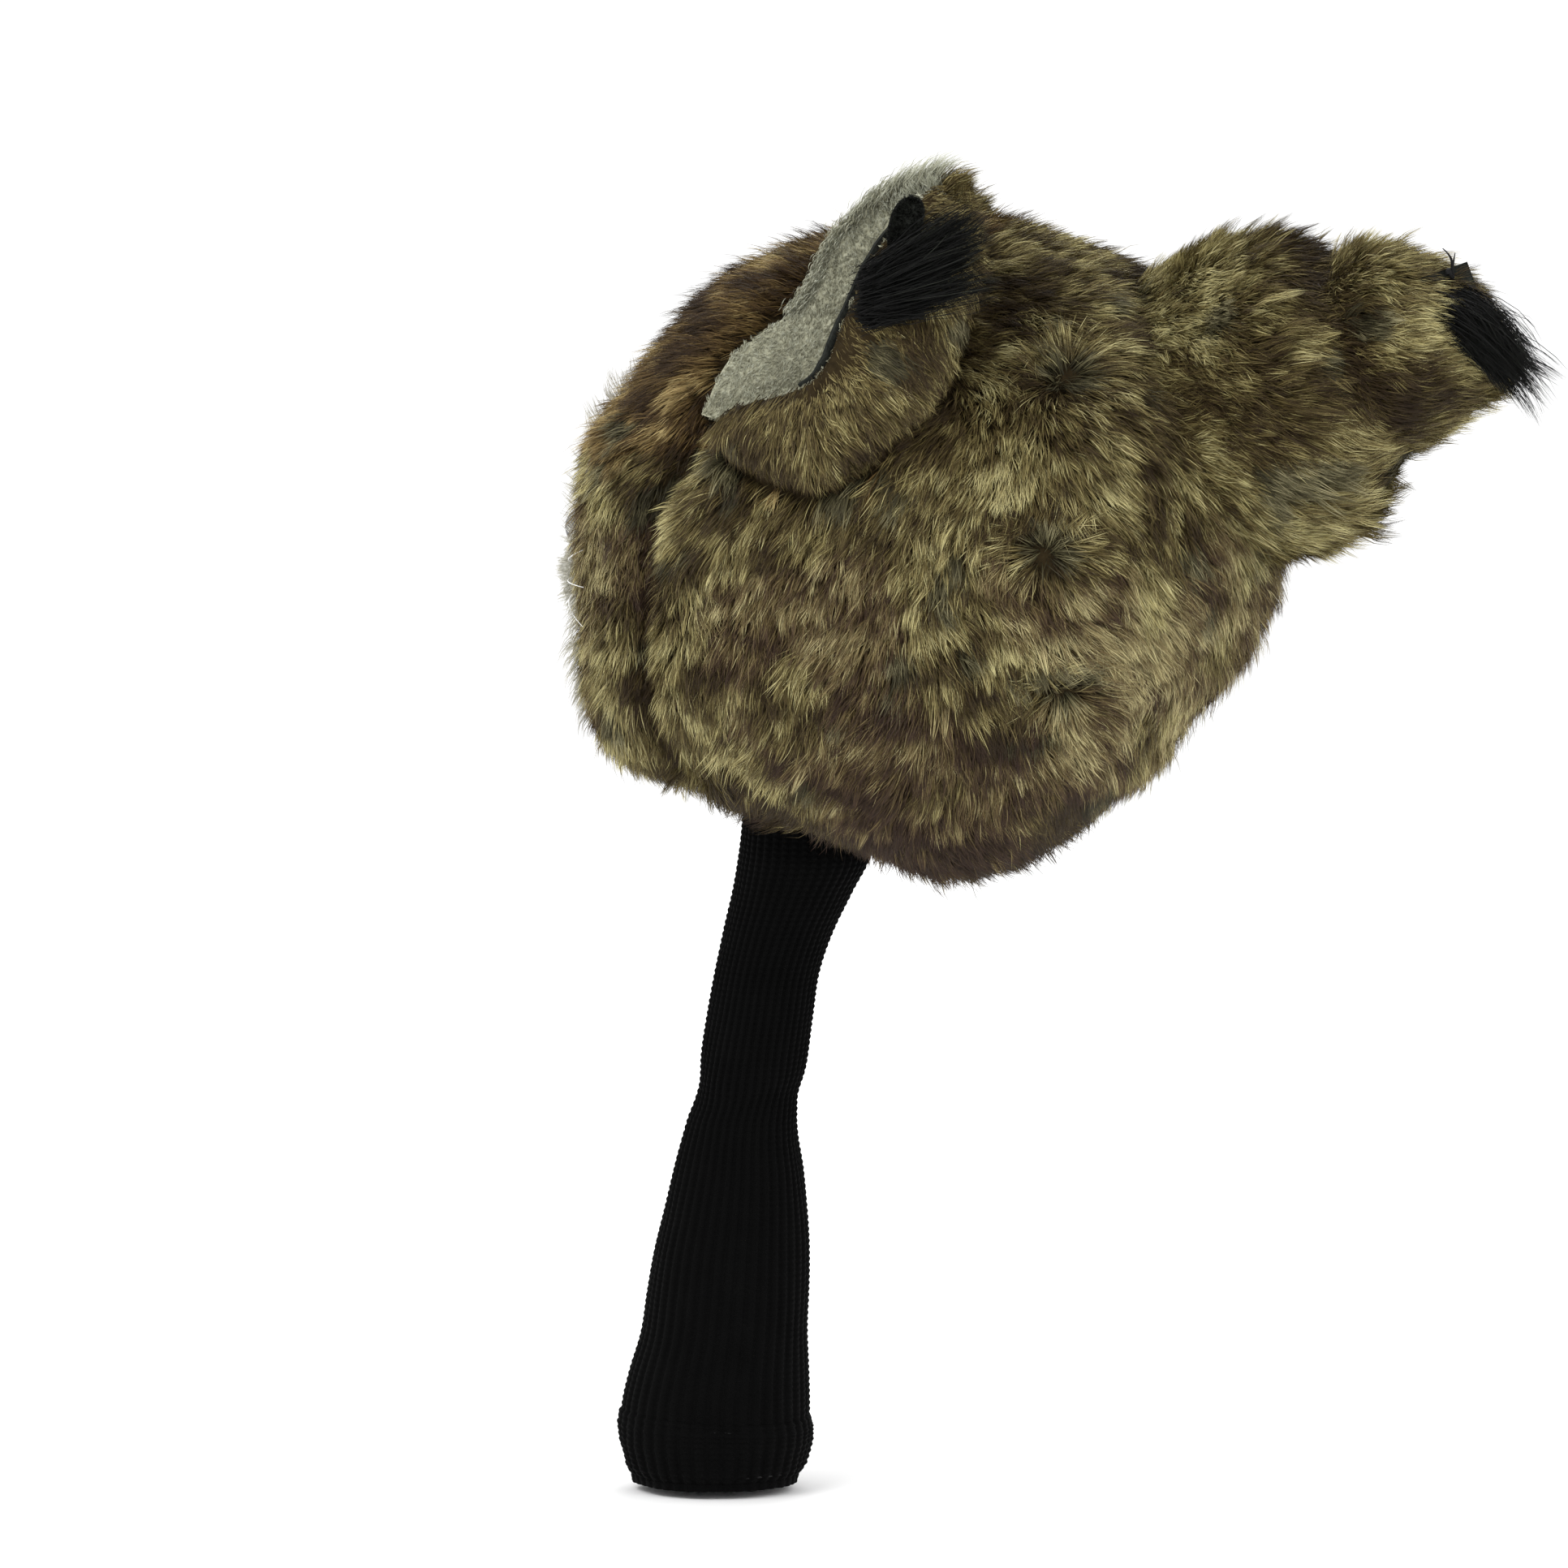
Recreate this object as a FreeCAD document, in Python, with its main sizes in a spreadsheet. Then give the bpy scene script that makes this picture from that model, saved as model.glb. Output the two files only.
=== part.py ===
import FreeCAD, Part
import Sketcher
import math
import os

# Plush animal cover for a golf driver head.
# Frame: origin at the centre of the throat, +Z up towards the crown,
# -Y towards the face, +Y towards the tail, +X the animal's left.
App = FreeCAD
V = App.Vector
doc = App.newDocument("driver_head_cover")
sheet = doc.addObject("Spreadsheet::Sheet", "Dims")

CELLS = [
    # head
    ("head_half_x", 76.5, "half width of the stuffed head"),
    ("head_half_y", 84.5, "half length of the stuffed head"),
    ("head_half_z", 81.5, "half height of the stuffed head"),
    ("head_mid_y", 28.0, "head centre behind the throat"),
    ("head_mid_z", 73.0, "head centre above the throat"),
    ("pile_depth", 7.5, "fur fabric with its pile pressed"),
    ("padding_depth", 6.5, "wadding"),
    ("lining_depth", 1.5, "inner lining"),
    ("gusset_half", 26.0, "half width of crown and under panels"),
    ("throat_radius", 22.0, "hole sewn into the under panel"),
    ("throat_inner", 24.0, "hole through wadding and lining"),
    ("elastic_inner", 20.6, "inside of the neck elastic"),
    ("elastic_low", 3.5, "middle of the neck elastic"),
    ("elastic_tall", 6.0, "height of the neck elastic"),
    # face
    ("muzzle_half_x", 27.0, "muzzle half width"),
    ("muzzle_half_y", 17.0, "muzzle half depth"),
    ("muzzle_half_z", 20.0, "muzzle half height"),
    ("muzzle_y", -50.0, "muzzle centre"),
    ("muzzle_z", 64.0, "muzzle centre"),
    ("muzzle_skin", 3.0, "muzzle fabric"),
    ("nose_half_x", 8.5, "nose half width"),
    ("nose_half_y", 5.5, "nose half depth"),
    ("nose_half_z", 5.5, "nose half height"),
    ("nose_y", -65.5, "nose centre"),
    ("nose_z", 73.0, "nose centre"),
    ("eye_radius", 8.0, "eye dome radius"),
    ("eye_dome", 5.0, "eye dome height"),
    ("shank_radius", 2.2, "eye shank"),
    ("shank_len", 13.0, "eye shank below the fabric"),
    ("washer_depth", 8.2, "washer top below the fabric face"),
    ("washer_thick", 1.5, "locking washer"),
    ("whisker_dia", 0.8, "whisker"),
    ("whisker_len", 34.0, "whisker"),
    # ears
    ("lining_thick", 2.4, "short pile ear lining"),
    ("ear_fur_thick", 7.0, "ear back fur"),
    ("ear_root_gap", 1.6, "hinge line to the ear edge"),
    ("strip_thick", 1.4, "felt edging"),
    ("tab_thick", 1.6, "felt tip tab"),
    ("tuft_base", 7.0, "black ear tuft radius at its root"),
    ("tuft_tip", 1.6, "black ear tuft radius at its end"),
    ("tuft_len", 34.0, "black ear tuft length"),
    # tail
    ("root_base_r", 36.0, "tail root radius at the head"),
    ("root_end_r", 31.0, "tail root radius at the fold"),
    ("root_len", 19.0, "tail root length"),
    ("tail_wall", 6.0, "tail fur fabric"),
    ("tail_gap", 4.6, "slack between head and tail root"),
    ("end_rim_r", 29.5, "tail end radius at the fold"),
    ("end_rim_rise", 8.6, "cone height that lets the tail swing"),
    ("end_tip_r", 19.0, "tail end radius at its tip"),
    ("end_len", 45.0, "tail end length"),
    ("patch_side", 14.0, "felt patch"),
    ("patch_thick", 1.6, "felt patch"),
    ("knot_r", 1.6, "thread knot"),
    ("knot_len", 5.0, "thread ends"),
    ("tailtuft_base", 12.0, "black tail tuft at its root"),
    ("tailtuft_tip", 3.0, "black tail tuft at its end"),
    ("tailtuft_len", 28.0, "black tail tuft"),
    # sock
    ("knit_wall", 2.0, "rib knit, one layer"),
    ("fold_z", -68.0, "height of the fold in the sock"),
    ("hem_outer", 23.6, "hem outside radius"),
    ("hem_inner", 20.4, "hem inside radius"),
    ("hem_tall", 20.5, "hem height"),
    ("hem_y", -23.2, "hem centre"),
    ("hem_top", -141.0, "hem top"),
    ("hem_round", 1.2, "hem edge rounding"),
    ("band_thick", 0.9, "hem elastic thickness"),
    ("band_tall", 7.0, "hem elastic height"),
    ("thread_r", 0.45, "hem stitching thread"),
]
VAL = {}
for row, (alias, value, note) in enumerate(CELLS, start=1):
    sheet.set("A%d" % row, note)
    sheet.set("B%d" % row, repr(float(value)))
    sheet.setAlias("B%d" % row, alias)
    VAL[alias] = float(value)
doc.recompute()


def dim(alias):
    return float(getattr(sheet, alias))


PARTS = []


def keep(obj, label):
    obj.Label = label
    PARTS.append(obj)
    return obj


def rot_from_axes(ex, ey, ez):
    m = App.Matrix(ex.x, ey.x, ez.x, 0, ex.y, ey.y, ez.y, 0, ex.z, ey.z, ez.z, 0, 0, 0, 0, 1)
    return App.Rotation(m)


# ---------------------------------------------------------------- helpers
def ellipsoid(name, ex, ey, ez, cy, cz, cx="0"):
    e = doc.addObject("Part::Ellipsoid", name)
    e.setExpression("Radius1", ez)
    e.setExpression("Radius2", ex)
    e.setExpression("Radius3", ey)
    e.setExpression(".Placement.Base.x", cx)
    e.setExpression(".Placement.Base.y", cy)
    e.setExpression(".Placement.Base.z", cz)
    return e


def cut(name, base, tool):
    c = doc.addObject("Part::Cut", name)
    c.Base = base
    c.Tool = tool
    return c


def common(name, base, tool):
    c = doc.addObject("Part::Common", name)
    c.Base = base
    c.Tool = tool
    return c


def box(name, x0, x1, y0, y1, z0, z1, exprs=None):
    b = doc.addObject("Part::Box", name)
    b.Length, b.Width, b.Height = x1 - x0, y1 - y0, z1 - z0
    b.Placement = App.Placement(V(x0, y0, z0), App.Rotation())
    for prop, expression in (exprs or {}).items():
        b.setExpression(prop, expression)
    return b


def plane_of(body, role):
    for f in body.Origin.OriginFeatures:
        if f.Role == role:
            return f
    raise RuntimeError(role)


def sketch_on(body, name, role="XY_Plane", offset=0.0):
    sk = body.newObject("Sketcher::SketchObject", name)
    sk.AttachmentSupport = [(plane_of(body, role), "")]
    sk.MapMode = "FlatFace"
    if offset:
        sk.AttachmentOffset = App.Placement(V(0, 0, offset), App.Rotation())
    return sk


def circle(sk, cx, cy, r, r_expr=None, cx_expr=None, cy_expr=None):
    g = sk.addGeometry(Part.Circle(V(cx, cy, 0), V(0, 0, 1), r), False)
    k = sk.addConstraint(Sketcher.Constraint("Radius", g, r))
    if r_expr:
        sk.setExpression("Constraints[%d]" % k, r_expr)
    if abs(cx) < 1e-9 and not cx_expr:
        sk.addConstraint(Sketcher.Constraint("PointOnObject", g, 3, -2))
    else:
        sk.addConstraint(Sketcher.Constraint("DistanceX", -1, 1, g, 3, cx))
    if abs(cy) < 1e-9:
        sk.addConstraint(Sketcher.Constraint("PointOnObject", g, 3, -1))
    else:
        k = sk.addConstraint(Sketcher.Constraint("DistanceY", -1, 1, g, 3, cy))
        if cy_expr:
            sk.setExpression("Constraints[%d]" % k, cy_expr)
    return g


def loop(sk, pts, exprs=None):
    """Closed outline with every corner placed; exprs maps (corner, axis) to a sheet formula."""
    exprs = exprs or {}
    n = len(pts)
    ids = []
    for i in range(n):
        a, b = pts[i], pts[(i + 1) % n]
        ids.append(sk.addGeometry(Part.LineSegment(V(a[0], a[1], 0), V(b[0], b[1], 0)), False))
    for i in range(n):
        sk.addConstraint(Sketcher.Constraint("Coincident", ids[i], 2, ids[(i + 1) % n], 1))
    for i, (x, y) in enumerate(pts):
        if abs(x) < 1e-9 and (i, "x") not in exprs:
            sk.addConstraint(Sketcher.Constraint("PointOnObject", ids[i], 1, -2))
        else:
            k = sk.addConstraint(Sketcher.Constraint("DistanceX", -1, 1, ids[i], 1, x))
            if (i, "x") in exprs:
                sk.setExpression("Constraints[%d]" % k, exprs[(i, "x")])
        if abs(y) < 1e-9 and (i, "y") not in exprs:
            sk.addConstraint(Sketcher.Constraint("PointOnObject", ids[i], 1, -1))
        else:
            k = sk.addConstraint(Sketcher.Constraint("DistanceY", -1, 1, ids[i], 1, y))
            if (i, "y") in exprs:
                sk.setExpression("Constraints[%d]" % k, exprs[(i, "y")])
    return ids


def spline_loop(sk, pts):
    """Smooth closed outline through the given corners."""
    c = Part.BSplineCurve()
    c.interpolate([V(x, y, 0) for x, y in pts], PeriodicFlag=True)
    g = sk.addGeometry(c, False)
    sk.addConstraint(Sketcher.Constraint("Block", g))
    return g


def revolve(body, sk, name, axis="V_Axis"):
    r = body.newObject("PartDesign::Revolution", name)
    r.Profile = sk
    r.ReferenceAxis = (sk, [axis])
    r.Angle = 360.0
    return r


# ---------------------------------------------------------------- head shells
CY, CZ = "Dims.head_mid_y", "Dims.head_mid_z"
HX, HY, HZ = "Dims.head_half_x", "Dims.head_half_y", "Dims.head_half_z"
D1 = " - Dims.pile_depth"
D2 = D1 + " - Dims.padding_depth"
D3 = D2 + " - Dims.lining_depth"
hull_out = ellipsoid("hull_out", HX, HY, HZ, CY, CZ)
hull_skin = ellipsoid("hull_skin", HX + D1, HY + D1, HZ + D1, CY, CZ)
hull_pad = ellipsoid("hull_pad", HX + D2, HY + D2, HZ + D2, CY, CZ)
hull_room = ellipsoid("hull_room", HX + D3, HY + D3, HZ + D3, CY, CZ)

throat = doc.addObject("Part::Cylinder", "throat_tool")
throat.setExpression("Radius", "Dims.throat_radius")
throat.Height = 90
throat.Placement = App.Placement(V(0, 0, -40), App.Rotation())
throat_in = doc.addObject("Part::Cylinder", "throat_inner_tool")
throat_in.setExpression("Radius", "Dims.throat_inner")
throat_in.Height = 90
throat_in.Placement = App.Placement(V(0, 0, -40), App.Rotation())

# the face panel meets the rest along a seam that runs up the cheek and then
# back over the crown behind the ears
front_body = doc.addObject("PartDesign::Body", "front_zone")
sk = sketch_on(front_body, "front_outline", "YZ_Plane")
loop(sk, [(-110, -40), (-31, -40), (-29, 30), (-27, 70), (-22, 98), (-8, 118), (12, 138), (30, 175), (-110, 175)])
pad = front_body.newObject("PartDesign::Pad", "front_pad")
pad.Profile = sk
pad.Length = 220
pad.Midplane = True
doc.recompute()

# eyes sit square to the face panel
EYES = {}
for side, s in (("left", 1), ("right", -1)):
    hx, hy, hz = dim("head_half_x"), dim("head_half_y"), dim("head_half_z")
    ex, ez = 25.0, 19.0
    ey = -hy * math.sqrt(1 - (ex / hx) ** 2 - (ez / hz) ** 2)
    p = V(s * ex, dim("head_mid_y") + ey, dim("head_mid_z") + ez)
    n = V(s * ex / hx ** 2, ey / hy ** 2, ez / hz ** 2)
    n.normalize()
    EYES[side] = App.Placement(p, App.Rotation(V(0, 0, 1), n))

skin_shell = cut("skin_shell", hull_out, hull_skin)
pad_shell = cut("pad_shell", hull_skin, hull_pad)
room_shell = cut("room_shell", hull_pad, hull_room)

face_whole = common("face_whole", skin_shell, front_body)
rear_shell = cut("rear_shell", skin_shell, front_body)

shank_tools = []
pocket_tools = []
for side in ("left", "right"):
    t = doc.addObject("Part::Cylinder", "shank_hole_" + side)
    t.setExpression("Radius", "Dims.shank_radius")
    t.Height = 16
    t.Placement = EYES[side].multiply(App.Placement(V(0, 0, -14), App.Rotation()))
    shank_tools.append(t)
    t = doc.addObject("Part::Cylinder", "washer_pocket_" + side)
    t.Radius = 8.3
    t.Height = 8.0
    t.Placement = EYES[side].multiply(App.Placement(V(0, 0, -15.2), App.Rotation()))
    pocket_tools.append(t)
both_shanks = doc.addObject("Part::MultiFuse", "shank_holes")
both_shanks.Shapes = shank_tools
both_pockets = doc.addObject("Part::MultiFuse", "washer_pockets")
both_pockets.Shapes = pocket_tools

keep(cut("face_cut", face_whole, both_shanks), "face_panel")
gh = dim("gusset_half")
left_box = box("left_zone", gh, 120, -90, 150, -60, 190, {".Placement.Base.x": "Dims.gusset_half"})
right_box = box("right_zone", -120, -gh, -90, 150, -60, 190, {"Length": "120 mm - Dims.gusset_half * 1 mm"})
top_box = box("crown_zone", -gh, gh, -90, 150, dim("head_mid_z"), 190,
              {"Length": "2 * Dims.gusset_half", ".Placement.Base.x": "-Dims.gusset_half",
               ".Placement.Base.z": "Dims.head_mid_z"})
low_box = box("under_zone", -gh, gh, -90, 150, dim("head_mid_z") - 120, dim("head_mid_z"),
              {"Length": "2 * Dims.gusset_half", ".Placement.Base.x": "-Dims.gusset_half",
               ".Placement.Base.z": "Dims.head_mid_z - 120"})
keep(common("side_left_cut", rear_shell, left_box), "side_panel_left")
keep(common("side_right_cut", rear_shell, right_box), "side_panel_right")
keep(common("crown_cut", rear_shell, top_box), "crown_panel")
under_whole = common("under_whole", rear_shell, low_box)
keep(cut("under_cut", under_whole, throat), "under_panel")

half_left = box("half_left", 0, 120, -90, 150, -60, 190)
half_right = box("half_right", -120, 0, -90, 150, -60, 190)
pad_open = cut("pad_open", pad_shell, throat_in)
pad_pocketed = cut("pad_pocketed", pad_open, both_pockets)
keep(common("padding_left_cut", pad_pocketed, half_left), "padding_left")
keep(common("padding_right_cut", pad_pocketed, half_right), "padding_right")
room_open = cut("room_open", room_shell, throat_in)
room_pocketed = cut("room_pocketed", room_open, both_pockets)
keep(common("lining_left_cut", room_pocketed, half_left), "inner_lining_left")
keep(common("lining_right_cut", room_pocketed, half_right), "inner_lining_right")

# neck elastic, sewn inside the throat seam
b = doc.addObject("PartDesign::Body", "neck_elastic")
sk = sketch_on(b, "elastic_ring", "XY_Plane")
circle(sk, 0, 0, dim("throat_radius") - 0.25, "Dims.throat_radius - 0.25")
circle(sk, 0, 0, dim("elastic_inner"), "Dims.elastic_inner")
p = b.newObject("PartDesign::Pad", "elastic_pad")
p.Profile = sk
p.setExpression("Length", "Dims.elastic_tall")
p.Midplane = True
# the seam follows the underside, which rises towards the face
b.Placement = App.Placement(V(0, 0, dim("elastic_low")), App.Rotation(V(1, 0, 0), -19.5))
keep(b, "neck_elastic")

# ---------------------------------------------------------------- face
MY, MZ = "Dims.muzzle_y", "Dims.muzzle_z"
muz_out = ellipsoid("muzzle_out", "Dims.muzzle_half_x", "Dims.muzzle_half_y", "Dims.muzzle_half_z", MY, MZ)
muz_in = ellipsoid("muzzle_in", "Dims.muzzle_half_x - Dims.muzzle_skin", "Dims.muzzle_half_y - Dims.muzzle_skin",
                   "Dims.muzzle_half_z - Dims.muzzle_skin", MY, MZ)
muz_cap = cut("muzzle_cap", muz_out, hull_out)
nose_ball = ellipsoid("nose_ball", "Dims.nose_half_x", "Dims.nose_half_y", "Dims.nose_half_z", "Dims.nose_y", "Dims.nose_z")
muz_skin = cut("muzzle_skin_cut", muz_cap, muz_in)
keep(muz_skin, "muzzle_cover")
keep(cut("muzzle_fill_cut", muz_in, hull_out), "muzzle_filling")
nose_cap = cut("nose_cap", nose_ball, muz_out)
keep(nose_cap, "nose")

for side in ("left", "right"):
    b = doc.addObject("PartDesign::Body", "eye_" + side)
    sk = sketch_on(b, "eye_profile_" + side, "XZ_Plane")
    r, h, sr, sl = dim("eye_radius"), dim("eye_dome"), dim("shank_radius"), dim("shank_len")
    pts = [(0, -sl), (sr, -sl), (sr, 0.3), (r, 0.3), (0.93 * r, 0.3 + 0.45 * h), (0.72 * r, 0.3 + 0.75 * h),
           (0.38 * r, 0.3 + 0.95 * h), (0, 0.3 + h)]
    loop(sk, pts, {(0, "y"): "-Dims.shank_len", (1, "x"): "Dims.shank_radius", (1, "y"): "-Dims.shank_len",
                   (2, "x"): "Dims.shank_radius", (3, "x"): "Dims.eye_radius",
                   (7, "y"): "0.3 + Dims.eye_dome"})
    revolve(b, sk, "eye_turn_" + side)
    b.Placement = EYES[side]
    keep(b, "eye_" + side)
    b = doc.addObject("PartDesign::Body", "eye_washer_" + side)
    sk = sketch_on(b, "washer_ring_" + side)
    circle(sk, 0, 0, 7.6)
    circle(sk, 0, 0, sr, "Dims.shank_radius")
    p = b.newObject("PartDesign::Pad", "washer_pad_" + side)
    p.Profile = sk
    p.setExpression("Length", "Dims.washer_thick")
    b.Placement = EYES[side].multiply(App.Placement(V(0, 0, -(dim("washer_depth") + dim("washer_thick"))), App.Rotation()))
    keep(b, "eye_washer_" + side)

# whiskers: three tapered monofilament lengths on each side of the muzzle
for side, s in (("left", 1), ("right", -1)):
    solids = []
    for k, (z0, tilt) in enumerate(((70.0, 14.0), (64.0, 2.0), (58.0, -12.0))):
        mx, my, mz = dim("muzzle_half_x"), dim("muzzle_half_y"), dim("muzzle_half_z")
        dz = (z0 - dim("muzzle_z")) / mz
        px = 16.0
        py = dim("muzzle_y") - my * math.sqrt(1 - (px / mx) ** 2 - dz ** 2) - 0.7
        d = V(s * math.cos(math.radians(tilt)), -0.22, math.sin(math.radians(tilt)))
        d.normalize()
        solids.append(Part.makeCone(dim("whisker_dia") / 2, dim("whisker_dia") / 4, dim("whisker_len"),
                                    V(s * px, py, z0), d))
    f = doc.addObject("Part::Feature", "whiskers_" + side)
    f.Shape = Part.makeCompound(solids)
    f.Placement = App.Placement()
    keep(f, "whiskers_" + side)

# ---------------------------------------------------------------- ears
# The ear is a leaf sewn on along a slanted seam; its hinge line is that seam.
EAR_O = V(59.0, 3.0, 124.0)
E1 = V(-20, 20, 35)
E1.normalize()
W0 = V(0.600, -0.586, 0.544)
W = W0 - E1 * W0.dot(E1)
W.normalize()
E2 = W.cross(E1) * -1.0
E2.normalize()


def ear_frame(s):
    o = V(s * EAR_O.x, EAR_O.y, EAR_O.z)
    e1 = V(s * E1.x, E1.y, E1.z)
    e2 = V(s * E2.x, E2.y, E2.z)
    w = V(s * W.x, W.y, W.z)
    if e1.cross(e2).dot(w) > 0:
        return o, e1, e2, w, 1.0
    return o, e1 * -1.0, e2, w, -1.0


LINING_OUT = [(-21, 1.6), (-22, 9), (-17, 18), (-8, 25.5), (10, 30), (27, 31.4), (42, 31.6), (50, 29), (48, 19), (43, 9), (35, 3), (21, 1.6), (0, 1.6)]
FUR_OUT = [(-18.5, 17), (-16, 20), (-8, 26.5), (10, 32), (27, 33), (42, 32.6), (49, 29), (45, 22), (38, 17), (20, 17), (0, 17)]
STRIP_OUT = [(-9, 26.0), (10, 30.6), (27, 32.0), (42, 32.4), (42, 34.0), (27, 33.6), (10, 32.4), (-9, 27.8)]
TAB_OUT = [(42.6, 32.2), (45, 36.5), (52, 37.5), (57, 34), (56, 28.5), (51.0, 29.4)]

for side, s in (("left", 1), ("right", -1)):
    o, ex, ey, ez, m = ear_frame(s)
    place = App.Placement(o, rot_from_axes(ex, ey, ez))

    def leaf(label, outline, t_expr, z0, spl=True):
        body = doc.addObject("PartDesign::Body", label)
        skl = sketch_on(body, label + "_outline", "XY_Plane", z0)
        pts = [(m * a, c) for a, c in outline]
        if spl:
            spline_loop(skl, pts)
        else:
            loop(skl, pts)
        pd = body.newObject("PartDesign::Pad", label + "_pad")
        pd.Profile = skl
        pd.setExpression("Length", t_expr)
        body.Placement = place
        keep(body, label)
        return body

    leaf("ear_lining_" + side, LINING_OUT, "Dims.lining_thick", 0.0, False)
    leaf("ear_back_" + side, FUR_OUT, "Dims.ear_fur_thick", -dim("ear_fur_thick"), False)
    leaf("ear_edge_strip_" + side, STRIP_OUT, "Dims.strip_thick", 0.2, False)
    leaf("ear_tip_tab_" + side, TAB_OUT, "Dims.tab_thick", 0.4, False)
    # long black hair at the ear tip, drooping back
    body = doc.addObject("PartDesign::Body", "ear_tuft_" + side)
    skt = sketch_on(body, "tuft_profile_" + side, "XZ_Plane")
    tb, tt, tl = dim("tuft_base"), dim("tuft_tip"), dim("tuft_len")
    loop(skt, [(0, 0), (tb, 0), (0.8 * tb, 0.5 * tl), (tt, tl), (0, tl)],
         {(1, "x"): "Dims.tuft_base", (2, "x"): "0.8 * Dims.tuft_base", (2, "y"): "0.5 * Dims.tuft_len",
          (3, "x"): "Dims.tuft_tip", (3, "y"): "Dims.tuft_len", (4, "y"): "Dims.tuft_len"})
    revolve(body, skt, "tuft_turn_" + side)
    tuft_at = o + ex * (m * 25.0) + ey * 37.5 - ez * 4.0
    d = V(s * -0.12, 0.95, 0.29)
    d.normalize()
    body.Placement = App.Placement(tuft_at + d * 3.0, App.Rotation(V(0, 0, 1), d))
    keep(body, "ear_tuft_" + side)

# ---------------------------------------------------------------- tail
ROOT_P = V(0, 28 + 84.5 * math.cos(math.radians(24)) + 0.0, 73 + 81.5 * math.sin(math.radians(24)))
TAIL_DIR = V(0, math.cos(math.radians(20)), math.sin(math.radians(20)))
TAIL_ROT = App.Rotation(V(0, 0, 1), TAIL_DIR)


def tail_place(dist):
    return App.Placement(ROOT_P + TAIL_DIR * dist, TAIL_ROT)


g0 = dim("tail_gap")
L1 = dim("root_len")
rb, re_, tw = dim("root_base_r"), dim("root_end_r"), dim("tail_wall")

b = doc.addObject("PartDesign::Body", "tail_root_sleeve")
sk = sketch_on(b, "root_profile", "XZ_Plane")
loop(sk, [(rb - tw, 0), (rb - 2.0, 0), (rb, 3.0), (re_, L1), (re_ - tw, L1)],
     {(0, "x"): "Dims.root_base_r - Dims.tail_wall", (1, "x"): "Dims.root_base_r - 2", (2, "x"): "Dims.root_base_r",
      (3, "x"): "Dims.root_end_r", (3, "y"): "Dims.root_len",
      (4, "x"): "Dims.root_end_r - Dims.tail_wall", (4, "y"): "Dims.root_len"})
revolve(b, sk, "root_turn")
b.Placement = tail_place(g0)
keep(b, "tail_root_sleeve")
b = doc.addObject("PartDesign::Body", "tail_root_filling")
sk = sketch_on(b, "root_fill_profile", "XZ_Plane")
loop(sk, [(0, 0), (rb - tw, 0), (re_ - tw, L1), (0, L1)],
     {(1, "x"): "Dims.root_base_r - Dims.tail_wall", (2, "x"): "Dims.root_end_r - Dims.tail_wall",
      (2, "y"): "Dims.root_len", (3, "y"): "Dims.root_len"})
revolve(b, sk, "root_fill_turn")
b.Placement = tail_place(g0)
keep(b, "tail_root_filling")

er, rise, tr, L2 = dim("end_rim_r"), dim("end_rim_rise"), dim("end_tip_r"), dim("end_len")
FOLD_GAP = 0.6
b = doc.addObject("PartDesign::Body", "tail_sleeve")
sk = sketch_on(b, "end_profile", "XZ_Plane")
loop(sk, [(0, 0), (er, rise), (er - 1, rise + 5), (tr, L2 - 4), (tr - 4, L2), (0, L2), (0, L2 - tw),
          (tr - tw - 2, L2 - tw), (er - tw, rise + 6), (er - tw - 1, rise + 2.5), (0, 3.4)],
     {(1, "x"): "Dims.end_rim_r", (1, "y"): "Dims.end_rim_rise", (2, "x"): "Dims.end_rim_r - 1",
      (2, "y"): "Dims.end_rim_rise + 5", (3, "x"): "Dims.end_tip_r", (3, "y"): "Dims.end_len - 4",
      (4, "x"): "Dims.end_tip_r - 4", (4, "y"): "Dims.end_len", (5, "y"): "Dims.end_len",
      (6, "y"): "Dims.end_len - Dims.tail_wall"})
revolve(b, sk, "end_turn")
b.Placement = tail_place(g0 + L1 + FOLD_GAP)
keep(b, "tail_sleeve")
b = doc.addObject("PartDesign::Body", "tail_filling")
sk = sketch_on(b, "end_fill_profile", "XZ_Plane")
loop(sk, [(0, 3.4), (er - tw - 1, rise + 2.5), (er - tw, rise + 6), (tr - tw - 2, L2 - tw), (0, L2 - tw)],
     {(4, "y"): "Dims.end_len - Dims.tail_wall"})
revolve(b, sk, "end_fill_turn")
b.Placement = tail_place(g0 + L1 + FOLD_GAP)
keep(b, "tail_filling")

tip_face = ROOT_P + TAIL_DIR * (g0 + L1 + FOLD_GAP + L2)
tail_up = V(0, -math.sin(math.radians(20)), math.cos(math.radians(20)))
# felt patch sewn over the closed end of the tail
b = doc.addObject("PartDesign::Body", "tail_end_patch")
sk = sketch_on(b, "patch_outline", "XY_Plane")
ps = dim("patch_side") / 2
loop(sk, [(-ps, -ps), (ps, -ps), (ps, ps), (-ps, ps)],
     {(0, "x"): "-Dims.patch_side / 2", (0, "y"): "-Dims.patch_side / 2", (1, "x"): "Dims.patch_side / 2",
      (1, "y"): "-Dims.patch_side / 2", (2, "x"): "Dims.patch_side / 2", (2, "y"): "Dims.patch_side / 2",
      (3, "x"): "-Dims.patch_side / 2", (3, "y"): "Dims.patch_side / 2"})
p = b.newObject("PartDesign::Pad", "patch_pad")
p.Profile = sk
p.setExpression("Length", "Dims.patch_thick")
b.Placement = App.Placement(tip_face + tail_up * 8.0, rot_from_axes(V(1, 0, 0), tail_up * -1.0, V(1, 0, 0).cross(tail_up * -1.0)))
if V(1, 0, 0).cross(tail_up * -1.0).dot(TAIL_DIR) < 0:
    b.Placement = App.Placement(tip_face + tail_up * 8.0, rot_from_axes(V(-1, 0, 0), tail_up * -1.0, V(-1, 0, 0).cross(tail_up * -1.0)))
keep(b, "tail_end_patch")
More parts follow.
